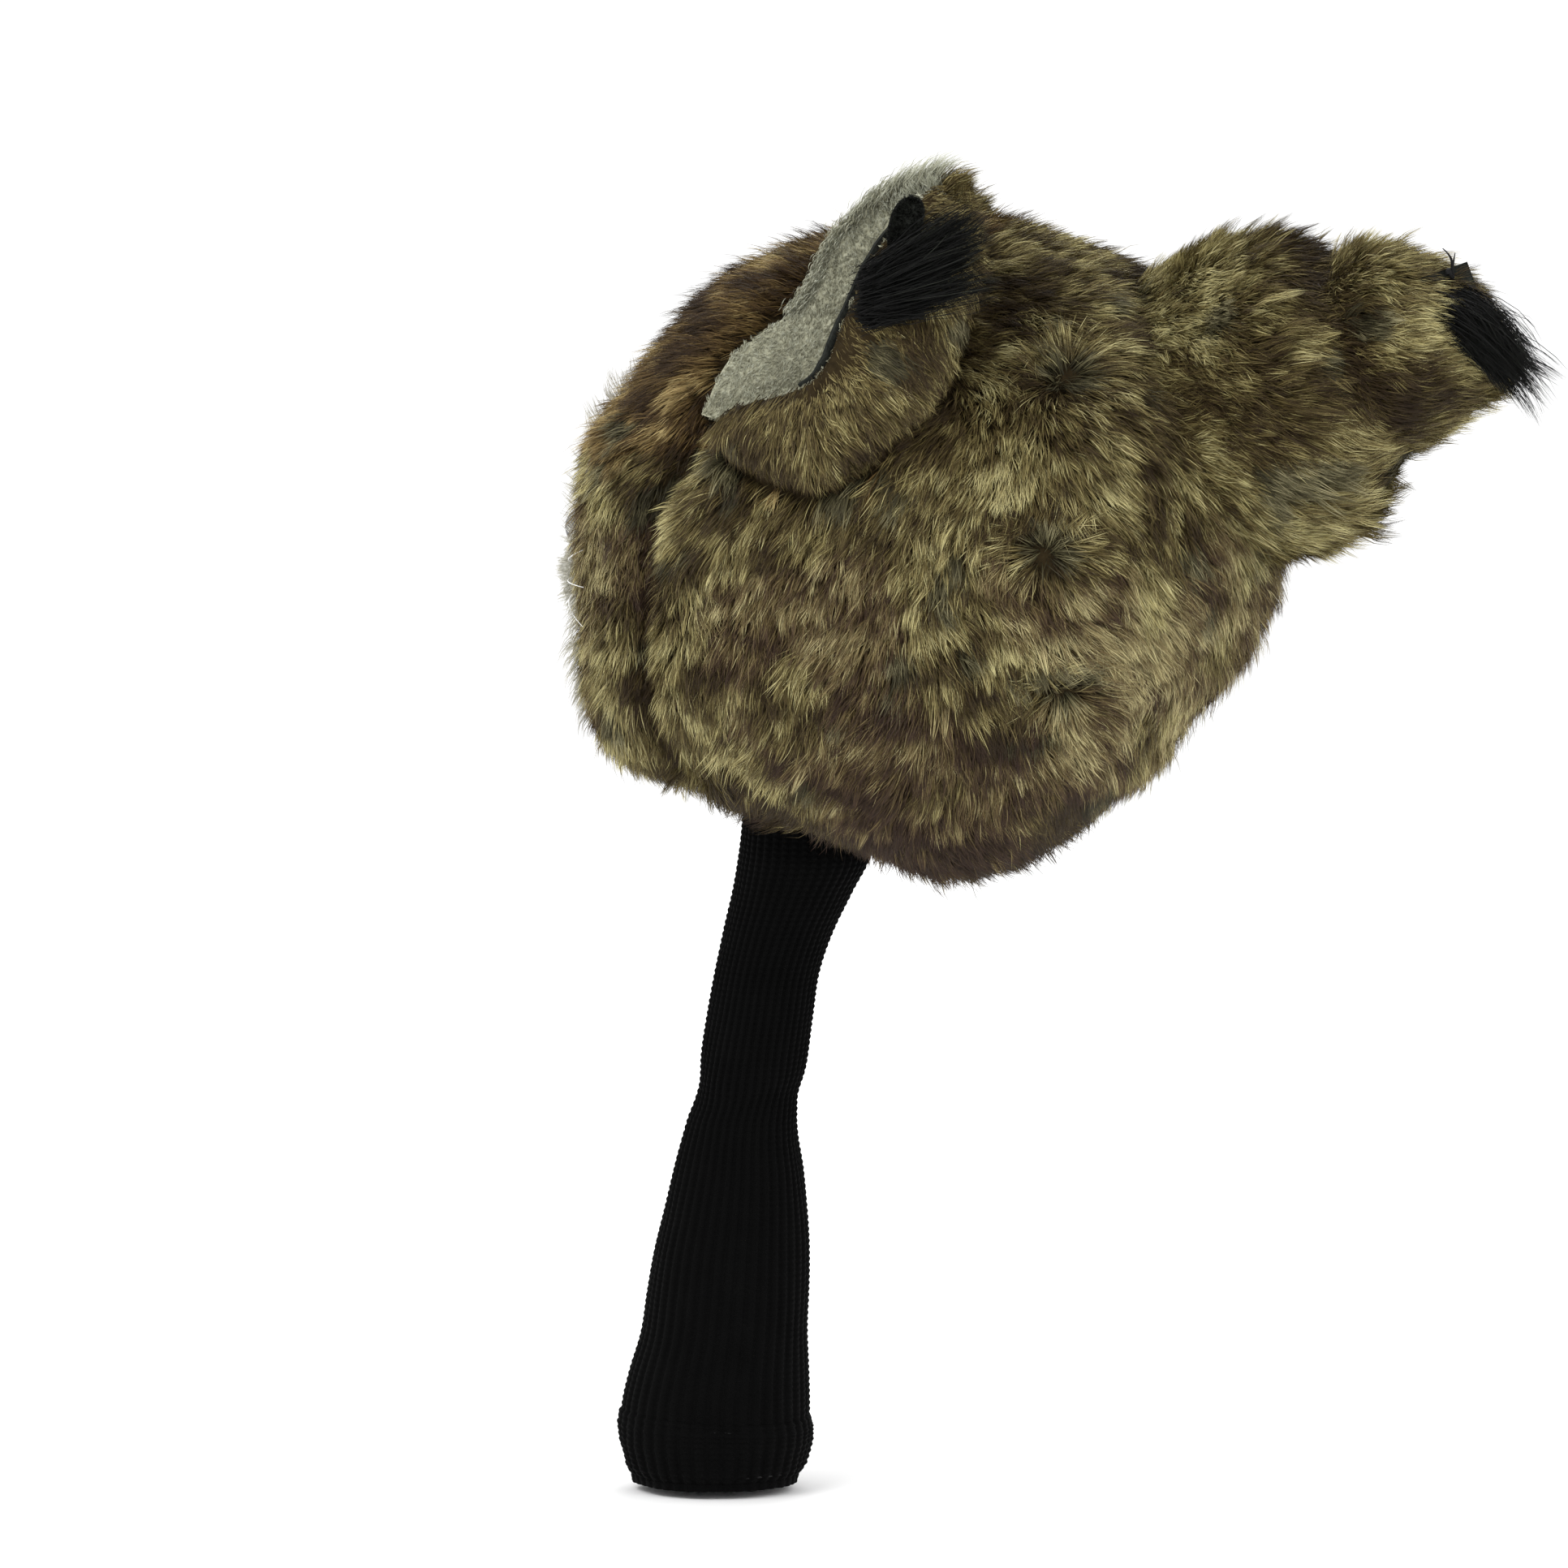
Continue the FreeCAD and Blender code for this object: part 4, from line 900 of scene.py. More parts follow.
# --------------------------------------------------------------------- face
def blob(name, centre, rad, mat, fn=None, nu=40, nv=56, body="head"):
    D = np.concatenate([sphere_dirs(nu, nv), [[1, 0, 0], [-1, 0, 0]]])
    Vb = np.array(centre) + D * np.array(rad)
    if fn is not None:
        Vb = fn(Vb, D)
    Qb = grid_faces(nu, nv, cv=True)
    a = nu * nv
    j = np.arange(nv)
    Tb = np.concatenate([
        np.stack([np.full(nv, a), j, (j + 1) % nv], 1),
        np.stack([np.full(nv, a + 1), (nu - 1) * nv + (j + 1) % nv, (nu - 1) * nv + j], 1)])
    Nb = vert_normals(Vb, Qb)
    if ((Vb - np.array(centre)) * Nb).sum() < 0:
        Qb, Tb, Nb = Qb[:, ::-1], Tb[:, ::-1], -Nb
    Nb[-2:] = [[1, 0, 0], [-1, 0, 0]]
    ob = make_mesh(name, Vb, [Qb, Tb], mat)
    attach(ob, body)
    return ob, Vb, Qb, Nb


def muzzle_fn(Vb, D):
    x, z = Vb[:, 0], Vb[:, 2]
    front = sstep(0.1, 0.8, -D[:, 1])
    cleft = np.exp(-((x / 2.6) ** 2)) * (1 - sstep(66, 76, z)) * front
    Vb[:, 1] += 3.0 * cleft
    cheeks = np.exp(-(((np.abs(x) - 11) / 8.0) ** 2)) * np.exp(-(((z - 63) / 11.0) ** 2)) * front
    Vb[:, 1] -= 3.0 * cheeks
    chin = np.exp(-((x / 9.0) ** 2)) * np.exp(-(((z - 52) / 4.0) ** 2)) * front
    Vb[:, 1] -= 1.5 * chin
    mouth = np.exp(-(((z - 57.0 - 0.05 * np.abs(x)) / 1.5) ** 2)) * (np.abs(x) < 15) * front
    Vb[:, 1] += 1.6 * mouth
    return Vb


mz, Vm, Qm, Nm = blob("muzzle_plush", (0, -43.5, 67.5), (25, 12, 18.5), M_WHITEBASE, muzzle_fn)
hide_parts("muzzle_cover")
mp, _, _, _ = blob("muzzle_stuffing", (0, -43.0, 67.5), (22, 9.0, 15.5), M_WAD, None, 24, 32)
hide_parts("muzzle_filling")


def mz_flow(P, N):
    v = np.stack([P[:, 0] * 0.09, 0 * P[:, 0] + 0.35, (P[:, 2] - 70) * 0.03 - 0.25], 1)
    return rot_about(tangent(v, N), N, 0.5 * vnoise(P / 8.0, 71))


def mz_keep(P, N):
    return (P[:, 1] < -46) & ~((np.hypot(P[:, 0] / 8.2, (P[:, 2] - 75.5) / 5.2) < 1) & (P[:, 1] < -53))


coat("muzzle_fur", "head", Vm, Qm, Nm, 16000, np.random.default_rng(17), mz_flow,
     lambda P, N: 6.0 + 1.5 * vnoise(P / 6.0, 72), lambda P, N: 0.55 + 0.25 * vnoise(P / 6.0, 73), None, 1,
     M_WHITEFUR, width=0.3, K=8, spread=1.2, a0=28, a1=66, keep=mz_keep)


def face_keep(P, N):
    b = (P[:, 1] < -30) & (np.abs(P[:, 0]) < 30) & (P[:, 2] > 70) & (P[:, 2] < 112)
    b &= np.abs(P[:, 0]) < 9 + 0.6 * np.abs(P[:, 2] - 92) + 3 * vnoise(P / 5.0, 74)
    for s in (-1, 1):
        b &= ~(np.hypot(P[:, 0] - 25 * s, P[:, 2] - 92) < 8.5)
    return b


coat("face_blaze_fur", "head", V, Qh, Nh, 60000, np.random.default_rng(18),
     lambda P, N: tangent(np.stack([P[:, 0] * 0.05, 0 * P[:, 0], 0 * P[:, 0] + 1.0], 1), N),
     lambda P, N: 11.5 + 2.0 * vnoise(P / 6.0, 75), lambda P, N: 0.5 + 0.3 * vnoise(P / 6.0, 76), None, 1,
     M_WHITEFUR, width=0.22, K=7, spread=1.4, a0=22, a1=52, conv=0.7, keep=face_keep)


def cheek_keep(P, N):
    b = (P[:, 1] < -46) & (P[:, 2] > 34) & (P[:, 2] < 62) & (np.abs(P[:, 0]) < 26)
    return b


coat("cheek_ruff_fur", "head", V, Qh, Nh, 52000, np.random.default_rng(19),
     lambda P, N: tangent(np.stack([np.sign(P[:, 0]) * 0.7, 0 * P[:, 0] + 0.2, 0 * P[:, 0] - 0.8], 1), N),
     lambda P, N: 13.0 + 2.0 * vnoise(P / 6.0, 77), lambda P, N: 0.35 + 0.3 * vnoise(P / 5.0, 78), None, 1,
     M_WHITEFUR, width=0.3, K=9, spread=1.5, a0=30, a1=68, keep=cheek_keep)


def nose_fn(Vb, D):
    x, z = Vb[:, 0], Vb[:, 2]
    k = sstep(70.5, 80.5, z)
    Vb[:, 0] *= 0.62 + 0.42 * k
    f = sstep(0.0, 0.6, -D[:, 1])
    for s in (-1, 1):
        Vb[:, 1] += 1.3 * f * np.exp(-(((x - s * 4.6) / 1.5) ** 2) - (((z - 73.7) / 1.2) ** 2))
    Vb[:, 1] += 0.9 * f * np.exp(-((x / 0.8) ** 2)) * (1 - sstep(72.5, 76.5, z))
    return Vb


ns, _, _, _ = blob("nose_moulded", (0, -56.5, 76), (8.0, 4.6, 5.0), M_NOSE, nose_fn, 60, 80)
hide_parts("nose")

def whisker(name, paths, radii, mat, nseg=8):
    VV, FF, base_ = [], [], 0
    for path, r0 in zip(paths, radii):
        m_ = len(path)
        tg = unit(np.gradient(path, axis=0))
        a1_ = unit(np.cross(tg, [0.3, 0.2, 1.0]))
        b1_ = np.cross(tg, a1_)
        rr_ = r0 * np.linspace(1, 0.25, m_)[:, None, None]
        an = np.linspace(0, 2 * PI, nseg, endpoint=False)[None, :, None]
        ring = path[:, None] + rr_ * (np.cos(an) * a1_[:, None] + np.sin(an) * b1_[:, None])
        VV.append(ring.reshape(-1, 3))
        FF.append(grid_faces(m_, nseg, cv=True, base=base_))
        base_ += m_ * nseg
    ob_ = make_mesh(name, np.concatenate(VV), FF, mat)
    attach(ob_, "head")
    return ob_


for side, s in (("left", 1), ("right", -1)):
    paths = []
    for z0_, dz, ln in ((69, 5, 27), (65, 0, 29), (61, -6, 26)):
        u_ = np.linspace(0, 1, 18)[:, None]
        p0_ = np.array([13.5 * s, -55.0, z0_])
        paths.append(p0_ + u_ * ln * np.array([0.86 * s, -0.12, 0]) + u_ ** 2 * ln * np.array([0.05 * s, 0.42, 0])
                     + u_ ** 1.6 * np.array([0, 0, dz]))
    ob = whisker("whisker_hair_" + side, paths, [0.3] * 3, M_WHISKER)
    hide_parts("whiskers_" + side)

for side, s in (("left", 1), ("right", -1)):
    lo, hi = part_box("eye_" + side)
    ec = np.array([(lo[i] + hi[i]) * 500.0 for i in range(3)])
    nrm = np.array([0.356 * s, -0.903, 0.238])
    nrm /= np.linalg.norm(nrm)
    base = np.array([23.0 * s, -48.8, 92.0]) - nrm * 2.0
    t1 = unit(np.cross(nrm, [0, 0, 1.0])[None])[0]
    t2 = np.cross(t1, nrm)
    nr, na = 22, 56
    rr = np.linspace(0, 1, nr)
    aa = np.linspace(0, 2 * PI, na, endpoint=False)
    Rr, Aa = np.meshgrid(rr, aa, indexing="ij")
    R8 = 6.6
    h = 3.6 * np.sqrt(np.clip(1 - Rr ** 2, 0, 1))
    Ve = base + t1 * (R8 * Rr * np.cos(Aa))[..., None] + t2 * (R8 * Rr * np.sin(Aa))[..., None] + nrm * (h - 0.2)[..., None]
    Ve = Ve.reshape(-1, 3)
    Qe = grid_faces(nr, na, cv=True)
    cn = vert_normals(Ve, Qe)
    if (cn @ nrm).sum() < 0:
        Qe = Qe[:, ::-1]
    ob = make_mesh("eye_dome_" + side, Ve, [Qe], M_EYE)
    lay = ob.data.uv_layers.new(name="eye")
    li = np.empty(len(ob.data.loops), np.int32)
    ob.data.loops.foreach_get("vertex_index", li)
    uvr = Rr.reshape(-1)
    uva = Aa.reshape(-1) / (2 * PI)
    lay.data.foreach_set("uv", np.stack([uvr[li], uva[li]], -1).astype(np.float32).ravel())
    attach(ob, "head")
    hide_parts("eye_" + side)
    # lid roll of dark felt round the eye
    nlid, nc_ = 72, 12
    ta = np.linspace(0, 2 * PI, nlid, endpoint=False)
    ca = np.linspace(0, 2 * PI, nc_, endpoint=False)
    TA, CA = np.meshgrid(ta, ca, indexing="ij")
    rad = 6.8 + 0.7 * np.cos(CA)
    hh = 0.9 * np.sin(CA) + 1.0
    squash = 1 - 0.14 * np.abs(np.sin(TA))
    Vl = base + t1 * (rad * 1.06 * np.cos(TA))[..., None] + t2 * (rad * squash * np.sin(TA))[..., None] + nrm * hh[..., None]
    ob = make_mesh("eye_lid_" + side, Vl.reshape(-1, 3), [grid_faces(nlid, nc_, True, True)], M_FELT)
    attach(ob, "head")


# ears, continued
def ear_dir(D, side):
    if side == "left":
        return D
    D = D.copy()
    D[:, 0] *= -1
    return D


def rim_faces(a, b):
    return np.stack([a[:-1], a[1:], b[1:], b[:-1]], 1)


def strip_along(path, wdir, ndir, width, thick_):
    """Closed flat strip: path (n,3), width and thickness directions (n,3)."""
    n = len(path)
    P0 = path - wdir * width * 0.5 - ndir * thick_ * 0.5
    P1 = path + wdir * width * 0.5 - ndir * thick_ * 0.5
    P2 = path + wdir * width * 0.5 + ndir * thick_ * 0.5
    P3 = path - wdir * width * 0.5 + ndir * thick_ * 0.5
    Vs = np.stack([P0, P1, P2, P3], 1).reshape(-1, 3)
    q = grid_faces(n, 4, cv=True)
    e = 4 * (n - 1)
    caps = np.array([[3, 2, 1, 0], [e, e + 1, e + 2, e + 3]])
    return Vs, np.concatenate([q, caps])


for side in ("left", "right"):
    body = side + "_ear"
    fl = side == "right"
    Wi, Wo = ear_warp(Vi, side), ear_warp(Vo, side)
    qi = Qi[:, ::-1] if fl else Qi
    qo = Qo[:, ::-1] if fl else Qo
    ni, no = ear_dir(Ni, side), ear_dir(-Ni, side)
    inner = make_mesh("ear_lining_cloth_" + side, Wi, [qi], M_PILEBASE)
    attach(inner, body)
    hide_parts("ear_lining_" + side)
    rim = np.concatenate([Wo.reshape(nt_, ns_, 3)[:, :1], Wo.reshape(nt_, ns_, 3), Wo.reshape(nt_, ns_, 3)[:, -1:]], 1)
    rim[:, 0], rim[:, -1] = Wi.reshape(nt_, ns_, 3)[:, 0], Wi.reshape(nt_, ns_, 3)[:, -1]
    back = make_mesh("ear_back_cloth_" + side, rim.reshape(-1, 3), [grid_faces(nt_, ns_ + 2, flip=not fl)], M_SKIN)
    lay = back.data.uv_layers.new(name="OFBake")
    vi = np.empty(len(back.data.loops), np.int32)
    back.data.loops.foreach_get("vertex_index", vi)
    lay.data.foreach_set("uv", np.stack([0.02 + 0.96 * (vi % (ns_ + 2)) / (ns_ + 1.0), 0.02 + 0.96 * (vi // (ns_ + 2)) / (nt_ - 1.0)], -1).astype(np.float32).ravel())
    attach(back, body)
    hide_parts("ear_back_" + side)
    r2 = np.random.default_rng(31 if side == "left" else 32)
    sg = -1.0 if fl else 1.0

    def eb_flow(P, N, s, t):
        v = np.stack([sg * 0.15 + 0 * s, -0.45 + 1.07 * sstep(0.02, 0.4, t), -0.8 + 1.1 * sstep(0.72, 0.95, t)], 1)
        far = (1 - sstep(0.25, 0.5, s))[:, None]
        v = v * (1 - far) + far * np.stack([-sg * 0.3 + 0 * s, 0.5 + 0 * s, 0.3 + 0 * s], 1)
        return rot_about(tangent(v, N), N, 0.5 * vnoise(P / 9.0, 81))

    coat("ear_back_fur_" + side, body, Wo, qo, no, 42000, r2, eb_flow,
         lambda P, N, s, t: (8.3 + 1.2 * vnoise(P / 7.0, 82)) * (1 - 0.62 * sstep(0.78, 0.97, s) * sstep(0.10, 0.26, t)) * (1 - 0.5 * (1 - sstep(0.03, 0.2, s))) * (1 - 0.45 * np.exp(-((((P[:, 1] - 37 + (15 if fl else 0)) / 9.0) ** 2) + (((P[:, 2] - 143) / 6.5) ** 2)) ** 1.0) * (s > 0.6)),
         lambda P, N, s, t: 0.33 + 0.24 * vnoise(P / 7.0, 83) + 0.18 * vnoise(P / 3.5, 89) + 0.12 * sstep(0.6, 0.95, t),
         lambda P, N, s, t: np.where(vnoise(P / 9.0, 84) > 0.45, 1.0, 0.0), FR, M_FUR,
         width=0.23, K=7, spread=1.0, a0=42, a1=74, extra=[SS, TT], lift=lambda P, N, s, t: -16.0 * sstep(0.8, 0.97, s) * sstep(0.10, 0.26, t))

    def el_flow(P, N, s, t):
        v = np.stack([0 * s, 0.5 + 0 * s, 0.6 + 0 * s], 1)
        return rot_about(tangent(v, N), N, 0.9 * vnoise(P / 2.5, 85))

    coat("ear_lining_pile_" + side, body, Wi, qi, ni, 62000, r2, el_flow,
         lambda P, N, s, t: 1.9 + 0.3 * vnoise(P / 3.0, 86) + 4.5 * sstep(0.84, 0.98, t),
         lambda P, N, s, t: 0.44 + 0.24 * vnoise(P / 0.9, 87) + 0.12 * vnoise(P / 9.0, 88) + 0.30 * sstep(0.7, 0.95, t),
         None, 1, M_PILE, width=0.2, K=3, spread=0.4, a0=28, a1=58, conv=0.5, jit=0.5, extra=[SS, TT])

    # fringe of light hair over the far lip and the tip
    tt = r2.uniform(0.45, 1.0, int(6500 * DENS) + 60)
    lip = spline(ET, EF, tt) * (1 - 0.12 * r2.random(len(tt)))[:, None] + spline(ET, EK, tt) * 0
    lip = spline(ET, EF, tt) + r2.normal(0, 0.9, (len(tt), 3))
    lip = ear_warp(lip, side)
    d0 = np.stack([r2.normal(-0.1, 0.25, len(tt)) * sg, 0.25 + r2.normal(0, 0.25, len(tt)), 0.9 + 0 * tt], 1)
    d1 = np.stack([r2.normal(-0.1, 0.3, len(tt)) * sg, 0.9 + r2.normal(0, 0.25, len(tt)), 0.5 + 0 * tt], 1)
    strands("ear_lip_hair_" + side, body, lip, unit(d0), unit(d1), r2.uniform(2.0, 5.5, len(tt)) * (0.5 + 1.5 * sstep(0.70, 1.0, tt)),
            np.full(len(tt), 0.19), 0.72 + r2.normal(0, 0.15, len(tt)), np.zeros(len(tt)), 1, M_PILE,
            unit(d1 + [0, -0.5, 0.5]), r2)
    # brown tip fur
    n = int(3200 * DENS) + 60
    tt = r2.uniform(0.80, 1.0, n)
    root = spline(ET, EK, tt) * 0.75 + spline(ET, EF, tt) * 0.25 + r2.normal(0, 1.4, (n, 3)) - np.array([0, 0, 2.5])
    root = ear_warp(root, side)
    d0 = np.stack([r2.normal(0, 0.3, n), 0.5 + r2.normal(0, 0.25, n), 0.85 + 0 * tt], 1)
    d1 = np.stack([r2.normal(0, 0.3, n), 0.95 + r2.normal(0, 0.2, n), 0.35 + 0 * tt], 1)
    strands("ear_tip_fur_" + side, body, root, unit(d0), unit(d1), r2.uniform(7, 13, n), np.full(n, 0.26),
            0.5 + r2.normal(0, 0.2, n), np.zeros(n), FR, M_FUR, unit(d1 + [0, -0.8, 0.6]), r2,
            r2.integers(0, n // 9 + 1, n) if False else (np.argsort(np.argsort(tt)) // 9), 0.35)

    # felt edge strip on the near lip
    tn = np.linspace(0.2, 0.86, 60)
    path = spline(ET, EN, tn)
    kd = unit(spline(ET, EK, tn) - path)
    tang = unit(np.gradient(path, axis=0))
    wd = unit(kd - tang * (kd * tang).sum(1)[:, None])
    nd = unit(np.cross(tang, wd))
    wig = 0.35 * vnoise(path / 3.0, 91)[:, None]
    Vs, qs = strip_along(path + wd * 1.2 + nd * (1.3 + wig), wd, nd, 4.4, 1.1)
    Vs = ear_warp(Vs, side)
    ob = make_mesh("ear_edge_felt_" + side, Vs, [qs[:, ::-1] if fl else qs], M_FELT, smooth=False)
    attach(ob, body)
    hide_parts("ear_edge_strip_" + side)

    # felt tab near the tip: a rounded tongue, slightly curled
    a = np.linspace(0, 1, 22)
    b = np.linspace(-1, 1, 13)
    A, B = np.meshgrid(a, b, indexing="ij")
    root = np.array([73.0, 41.0, 151.5])
    tipd = unit(np.array([[-0.12, 0.20, 1.0]]))[0]
    sd = unit(np.array([[-0.30, 0.95, 0.02]]))[0]
    nd1 = np.cross(sd, tipd)
    wdt = 4.1 * np.sqrt(np.clip(1 - np.clip((A - 0.55) / 0.45, 0, 1) ** 2.2, 0, 1)) * (0.75 + 0.25 * sstep(0, 0.4, A))
    mid = root + tipd * (13.5 * A)[..., None] + sd * (wdt * B)[..., None]
    mid = mid + nd1 * (0.9 * B ** 2 + 0.5 * np.sin(A * 3.0) + 0.25 * vnoise(mid / 2.5, 92))[..., None]
    top = (mid + nd1 * 0.55).reshape(-1, 3)
    bot = (mid - nd1 * 0.55).reshape(-1, 3)
    m = len(top)
    g2 = np.arange(m).reshape(22, 13)
    fcs = [grid_faces(22, 13), grid_faces(22, 13, flip=True, base=m), rim_faces(g2[:, 0], g2[:, 0] + m),
           rim_faces(g2[:, -1] + m, g2[:, -1]), rim_faces(g2[-1] , g2[-1] + m), rim_faces(g2[0] + m, g2[0])]
    Vt = ear_warp(np.concatenate([top, bot]), side)
    if fl:
        fcs = [f[:, ::-1] for f in fcs]
    ob = make_mesh("ear_tip_felt_" + side, Vt, fcs, M_FELT)
    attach(ob, body)
    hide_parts("ear_tip_tab_" + side)
    qt = np.concatenate(fcs)
    coat("ear_tip_felt_fuzz_" + side, body, Vt, qt, vert_normals(Vt, qt), 5200, r2, lambda P, N: np.tile([[0.0, 0.4, 0.9]], (len(P), 1)), lambda P, N: 0.8 + 0 * P[:, 0],
         lambda P, N: 0.75 + 0.25 * vnoise(P / 1.2, 95), None, 1, M_BLACKFUR, width=0.16, K=3, spread=0.3, a0=10, a1=55, conv=0.2, jit=1.2)

    # black tuft: separate locks, each drawn to a point
    nl = 40
    per = int(120 * DENS) + 8
    n = nl * per
    cl = np.repeat(np.arange(nl), per)
    ax = unit(np.array([[0.02, 0.95, 0.22]]))[0]
    e1 = unit(np.cross(ax, [0, 0, 1.0])[None])[0]
    e2 = np.cross(e1, ax)
    pl, rl = r2.uniform(0, 2 * PI, nl), 6.2 * np.sqrt(r2.random(nl))
    lx, lz = np.cos(pl) * rl * 0.55, np.sin(pl) * rl * 1.0
    lL = np.where(lz > -3.0, 12 + 28 * r2.random(nl) ** 1.1, 8 + 15 * r2.random(nl))
    ang = 0.20 + lz / 6.2 * 0.27 + r2.normal(0, 0.09, nl)
    ld = unit(ax + e2 * ang[:, None] + e1 * r2.normal(0, 0.13, nl)[:, None])
    root = (np.array([79.0, 36.5, 140.6]) + (lx[cl] + r2.normal(0, 1.0, n))[:, None] * e1
            + (lz[cl] + r2.normal(0, 1.5, n))[:, None] * e2 - ax * (0.2 + np.abs(r2.normal(0, 2.0, n)) - 0.35 * lz[cl])[:, None])
    d0 = unit(ax + e2 * (0.06 + lz[cl] / 22.0)[:, None] + r2.normal(0, 0.2, (n, 3)))
    d1 = unit(ld[cl] + r2.normal(0, 0.10, (n, 3)))
    L = lL[cl] * r2.uniform(0.55, 1.12, n)
    st = r2.random(n) < 0.02
    L = np.where(st, r2.uniform(32, 44, n), L)
    d1 = np.where(st[:, None], unit(d1 + np.array([0, 0, 0.45])), d1)
    if fl:
        d0[:, 2] -= 0.35
        d1[:, 2] -= 0.75
        L = L * 0.75
    root, d0, d1 = ear_warp(root, side), ear_dir(d0, side), ear_dir(d1, side)
    obs = strands("ear_tuft_hair_" + side, body, root, d0, d1, L, r2.uniform(0.14, 0.26, n), r2.normal(0.38, 0.24, n),
                  np.zeros(n), 1, M_BLACKFUR, np.tile([[0.9 * sg, -0.2, 0.3]], (n, 1)), r2,
                  cl, 0.55, seg=5, spin=1.5)
    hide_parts("ear_tuft_" + side)


# --------------------------------------------------------------------- tail
TP = np.array([0, 105.19, 106.15])
TA_ = np.array([0, math.cos(math.radians(20)), math.sin(math.radians(20))])
TN_ = np.array([0, -math.sin(math.radians(20)), math.cos(math.radians(20))])
TX_ = np.array([1.0, 0, 0])
TS = np.array([-10, 0, 12, 22, 28, 33, 37, 44, 52, 58, 62, 65])
TOPR = np.array([35, 35.5, 36.5, 35, 32, 26.5, 23.5, 25, 21.5, 16.5, 13, 9], float)
BOTR = np.array([28, 30, 33, 32, 27, 21.5, 19, 17, 15, 13.5, 11.5, 9], float)
SIDR = np.array([31, 32, 33, 32, 29.5, 25.5, 23.5, 24, 20.5, 16, 12.5, 9], float)


def tail_pt(s, ph, off=0.0):
    k = np.clip(np.sin(ph), 0, 1)
    top = np.interp(s, TS, TOPR)
    bot = np.interp(s, TS, BOTR)
    sid = np.interp(s, TS, SIDR)
    rn = np.where(np.sin(ph) > 0, top, bot)
    x = sid * np.cos(ph)
    n = rn * np.sin(ph)
    P = TP + TA_ * s[..., None] + TX_ * x[..., None] + TN_ * n[..., None]
    d = unit(TX_ * x[..., None] + TN_ * n[..., None])
    lump = 1.2 * vnoise(P / 13.0, 101) + 0.6 * vnoise(P / 6.0, 102)
    return P + d * (off + lump)[..., None]


def tail_grid(s0, s1, ns, nph, off=0.0):
    s = np.linspace(s0, s1, ns)
    ph = np.linspace(0, 2 * PI, nph, endpoint=False)
    S, PH = np.meshgrid(s, ph, indexing="ij")
    return tail_pt(S, PH, off * np.ones_like(S)).reshape(-1, 3), grid_faces(ns, nph, cv=True)


def capped(Vg, Qg, ns, nph, start=True, end=True):
    Vg = list(Vg)
    tri = []
    j = np.arange(nph)
    Va = np.array(Vg)
    add = []
    if start:
        add.append(Va[:nph].mean(0))
        a = len(Va)
        tri.append(np.stack([np.full(nph, a), (j + 1) % nph, j], 1))
    if end:
        add.append(Va[(ns - 1) * nph:].mean(0))
        a = len(Va) + len(add) - 1
        o = (ns - 1) * nph
        tri.append(np.stack([np.full(nph, a), o + j, o + (j + 1) % nph], 1))
    return np.concatenate([Va, np.array(add)]), [Qg] + tri


def tail_flow(P, N):
    v = TA_[None] * 1.0 + np.stack([0 * P[:, 0], 0 * P[:, 0], -0.45 + 0 * P[:, 0]], 1)
    end = sstep(56, 65, (P - TP) @ TA_)
    v = v + end[:, None] * (N * 0.1 + np.array([0, 0.3, -0.6]))
    return rot_about(tangent(v, N), N, 0.55 * vnoise(P / 14.0, 111) + 0.35 * vnoise(P / 7.0, 112))


def tail_tone(P, N):
    s = (P - TP) @ TA_
    n = (P - TP) @ TN_
    t = 0.42 + 0.20 * vnoise(P / 16.0, 113) + 0.34 * vnoise(P / 7.0, 114) + 0.22 * vnoise(P / 3.5, 120)
    t += 0.24 * sstep(10, 26, n) + 0.14 * (1 - sstep(-22, -8, n))
    t -= 0.42 * np.exp(-(((s - (40 - 0.37 * n)) / 5.5) ** 2)) * sstep(-16, -2, n)
    t += 0.12 * sstep(46, 56, s)
    return t


def tail_hue(P, N):
    return np.where(vnoise(P / 12.0, 115) > 0.5, 1.0, 0.0)


def orient(Vg, Qg, axis_pt):
    Nn = vert_normals(Vg, Qg)
    rel = Vg - axis_pt
    rel = rel - TA_ * (rel @ TA_)[:, None]
    if (rel * Nn).sum() < 0:
        Qg, Nn = Qg[:, ::-1], -Nn
    return Qg, Nn


FOLD = 24.2
ns, nph = 30, 96
Vr, Qr = tail_grid(-10, FOLD, ns, nph)
Qr, Nr = orient(Vr, Qr, TP)
root_skin = make_mesh("tail_root_cloth", Vr, [Qr], M_SKIN)
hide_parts("tail_root_sleeve")
Ve2, Qe2 = tail_grid(FOLD - 0.2, 65.0, 40, nph)
Qe2, Ne2 = orient(Ve2, Qe2, TP)
cap_c = Ve2[-nph:].mean(0)
Vend = np.concatenate([Ve2, [cap_c + TA_ * 1.5]])
j = np.arange(nph)
o = 39 * nph
capt = np.stack([np.full(nph, len(Ve2)), o + j, o + (j + 1) % nph], 1)
tail_skin = make_mesh("tail_cloth", Vend, [Qe2, capt], M_SKIN)
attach(tail_skin, "tail_end")
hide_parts("tail_sleeve")

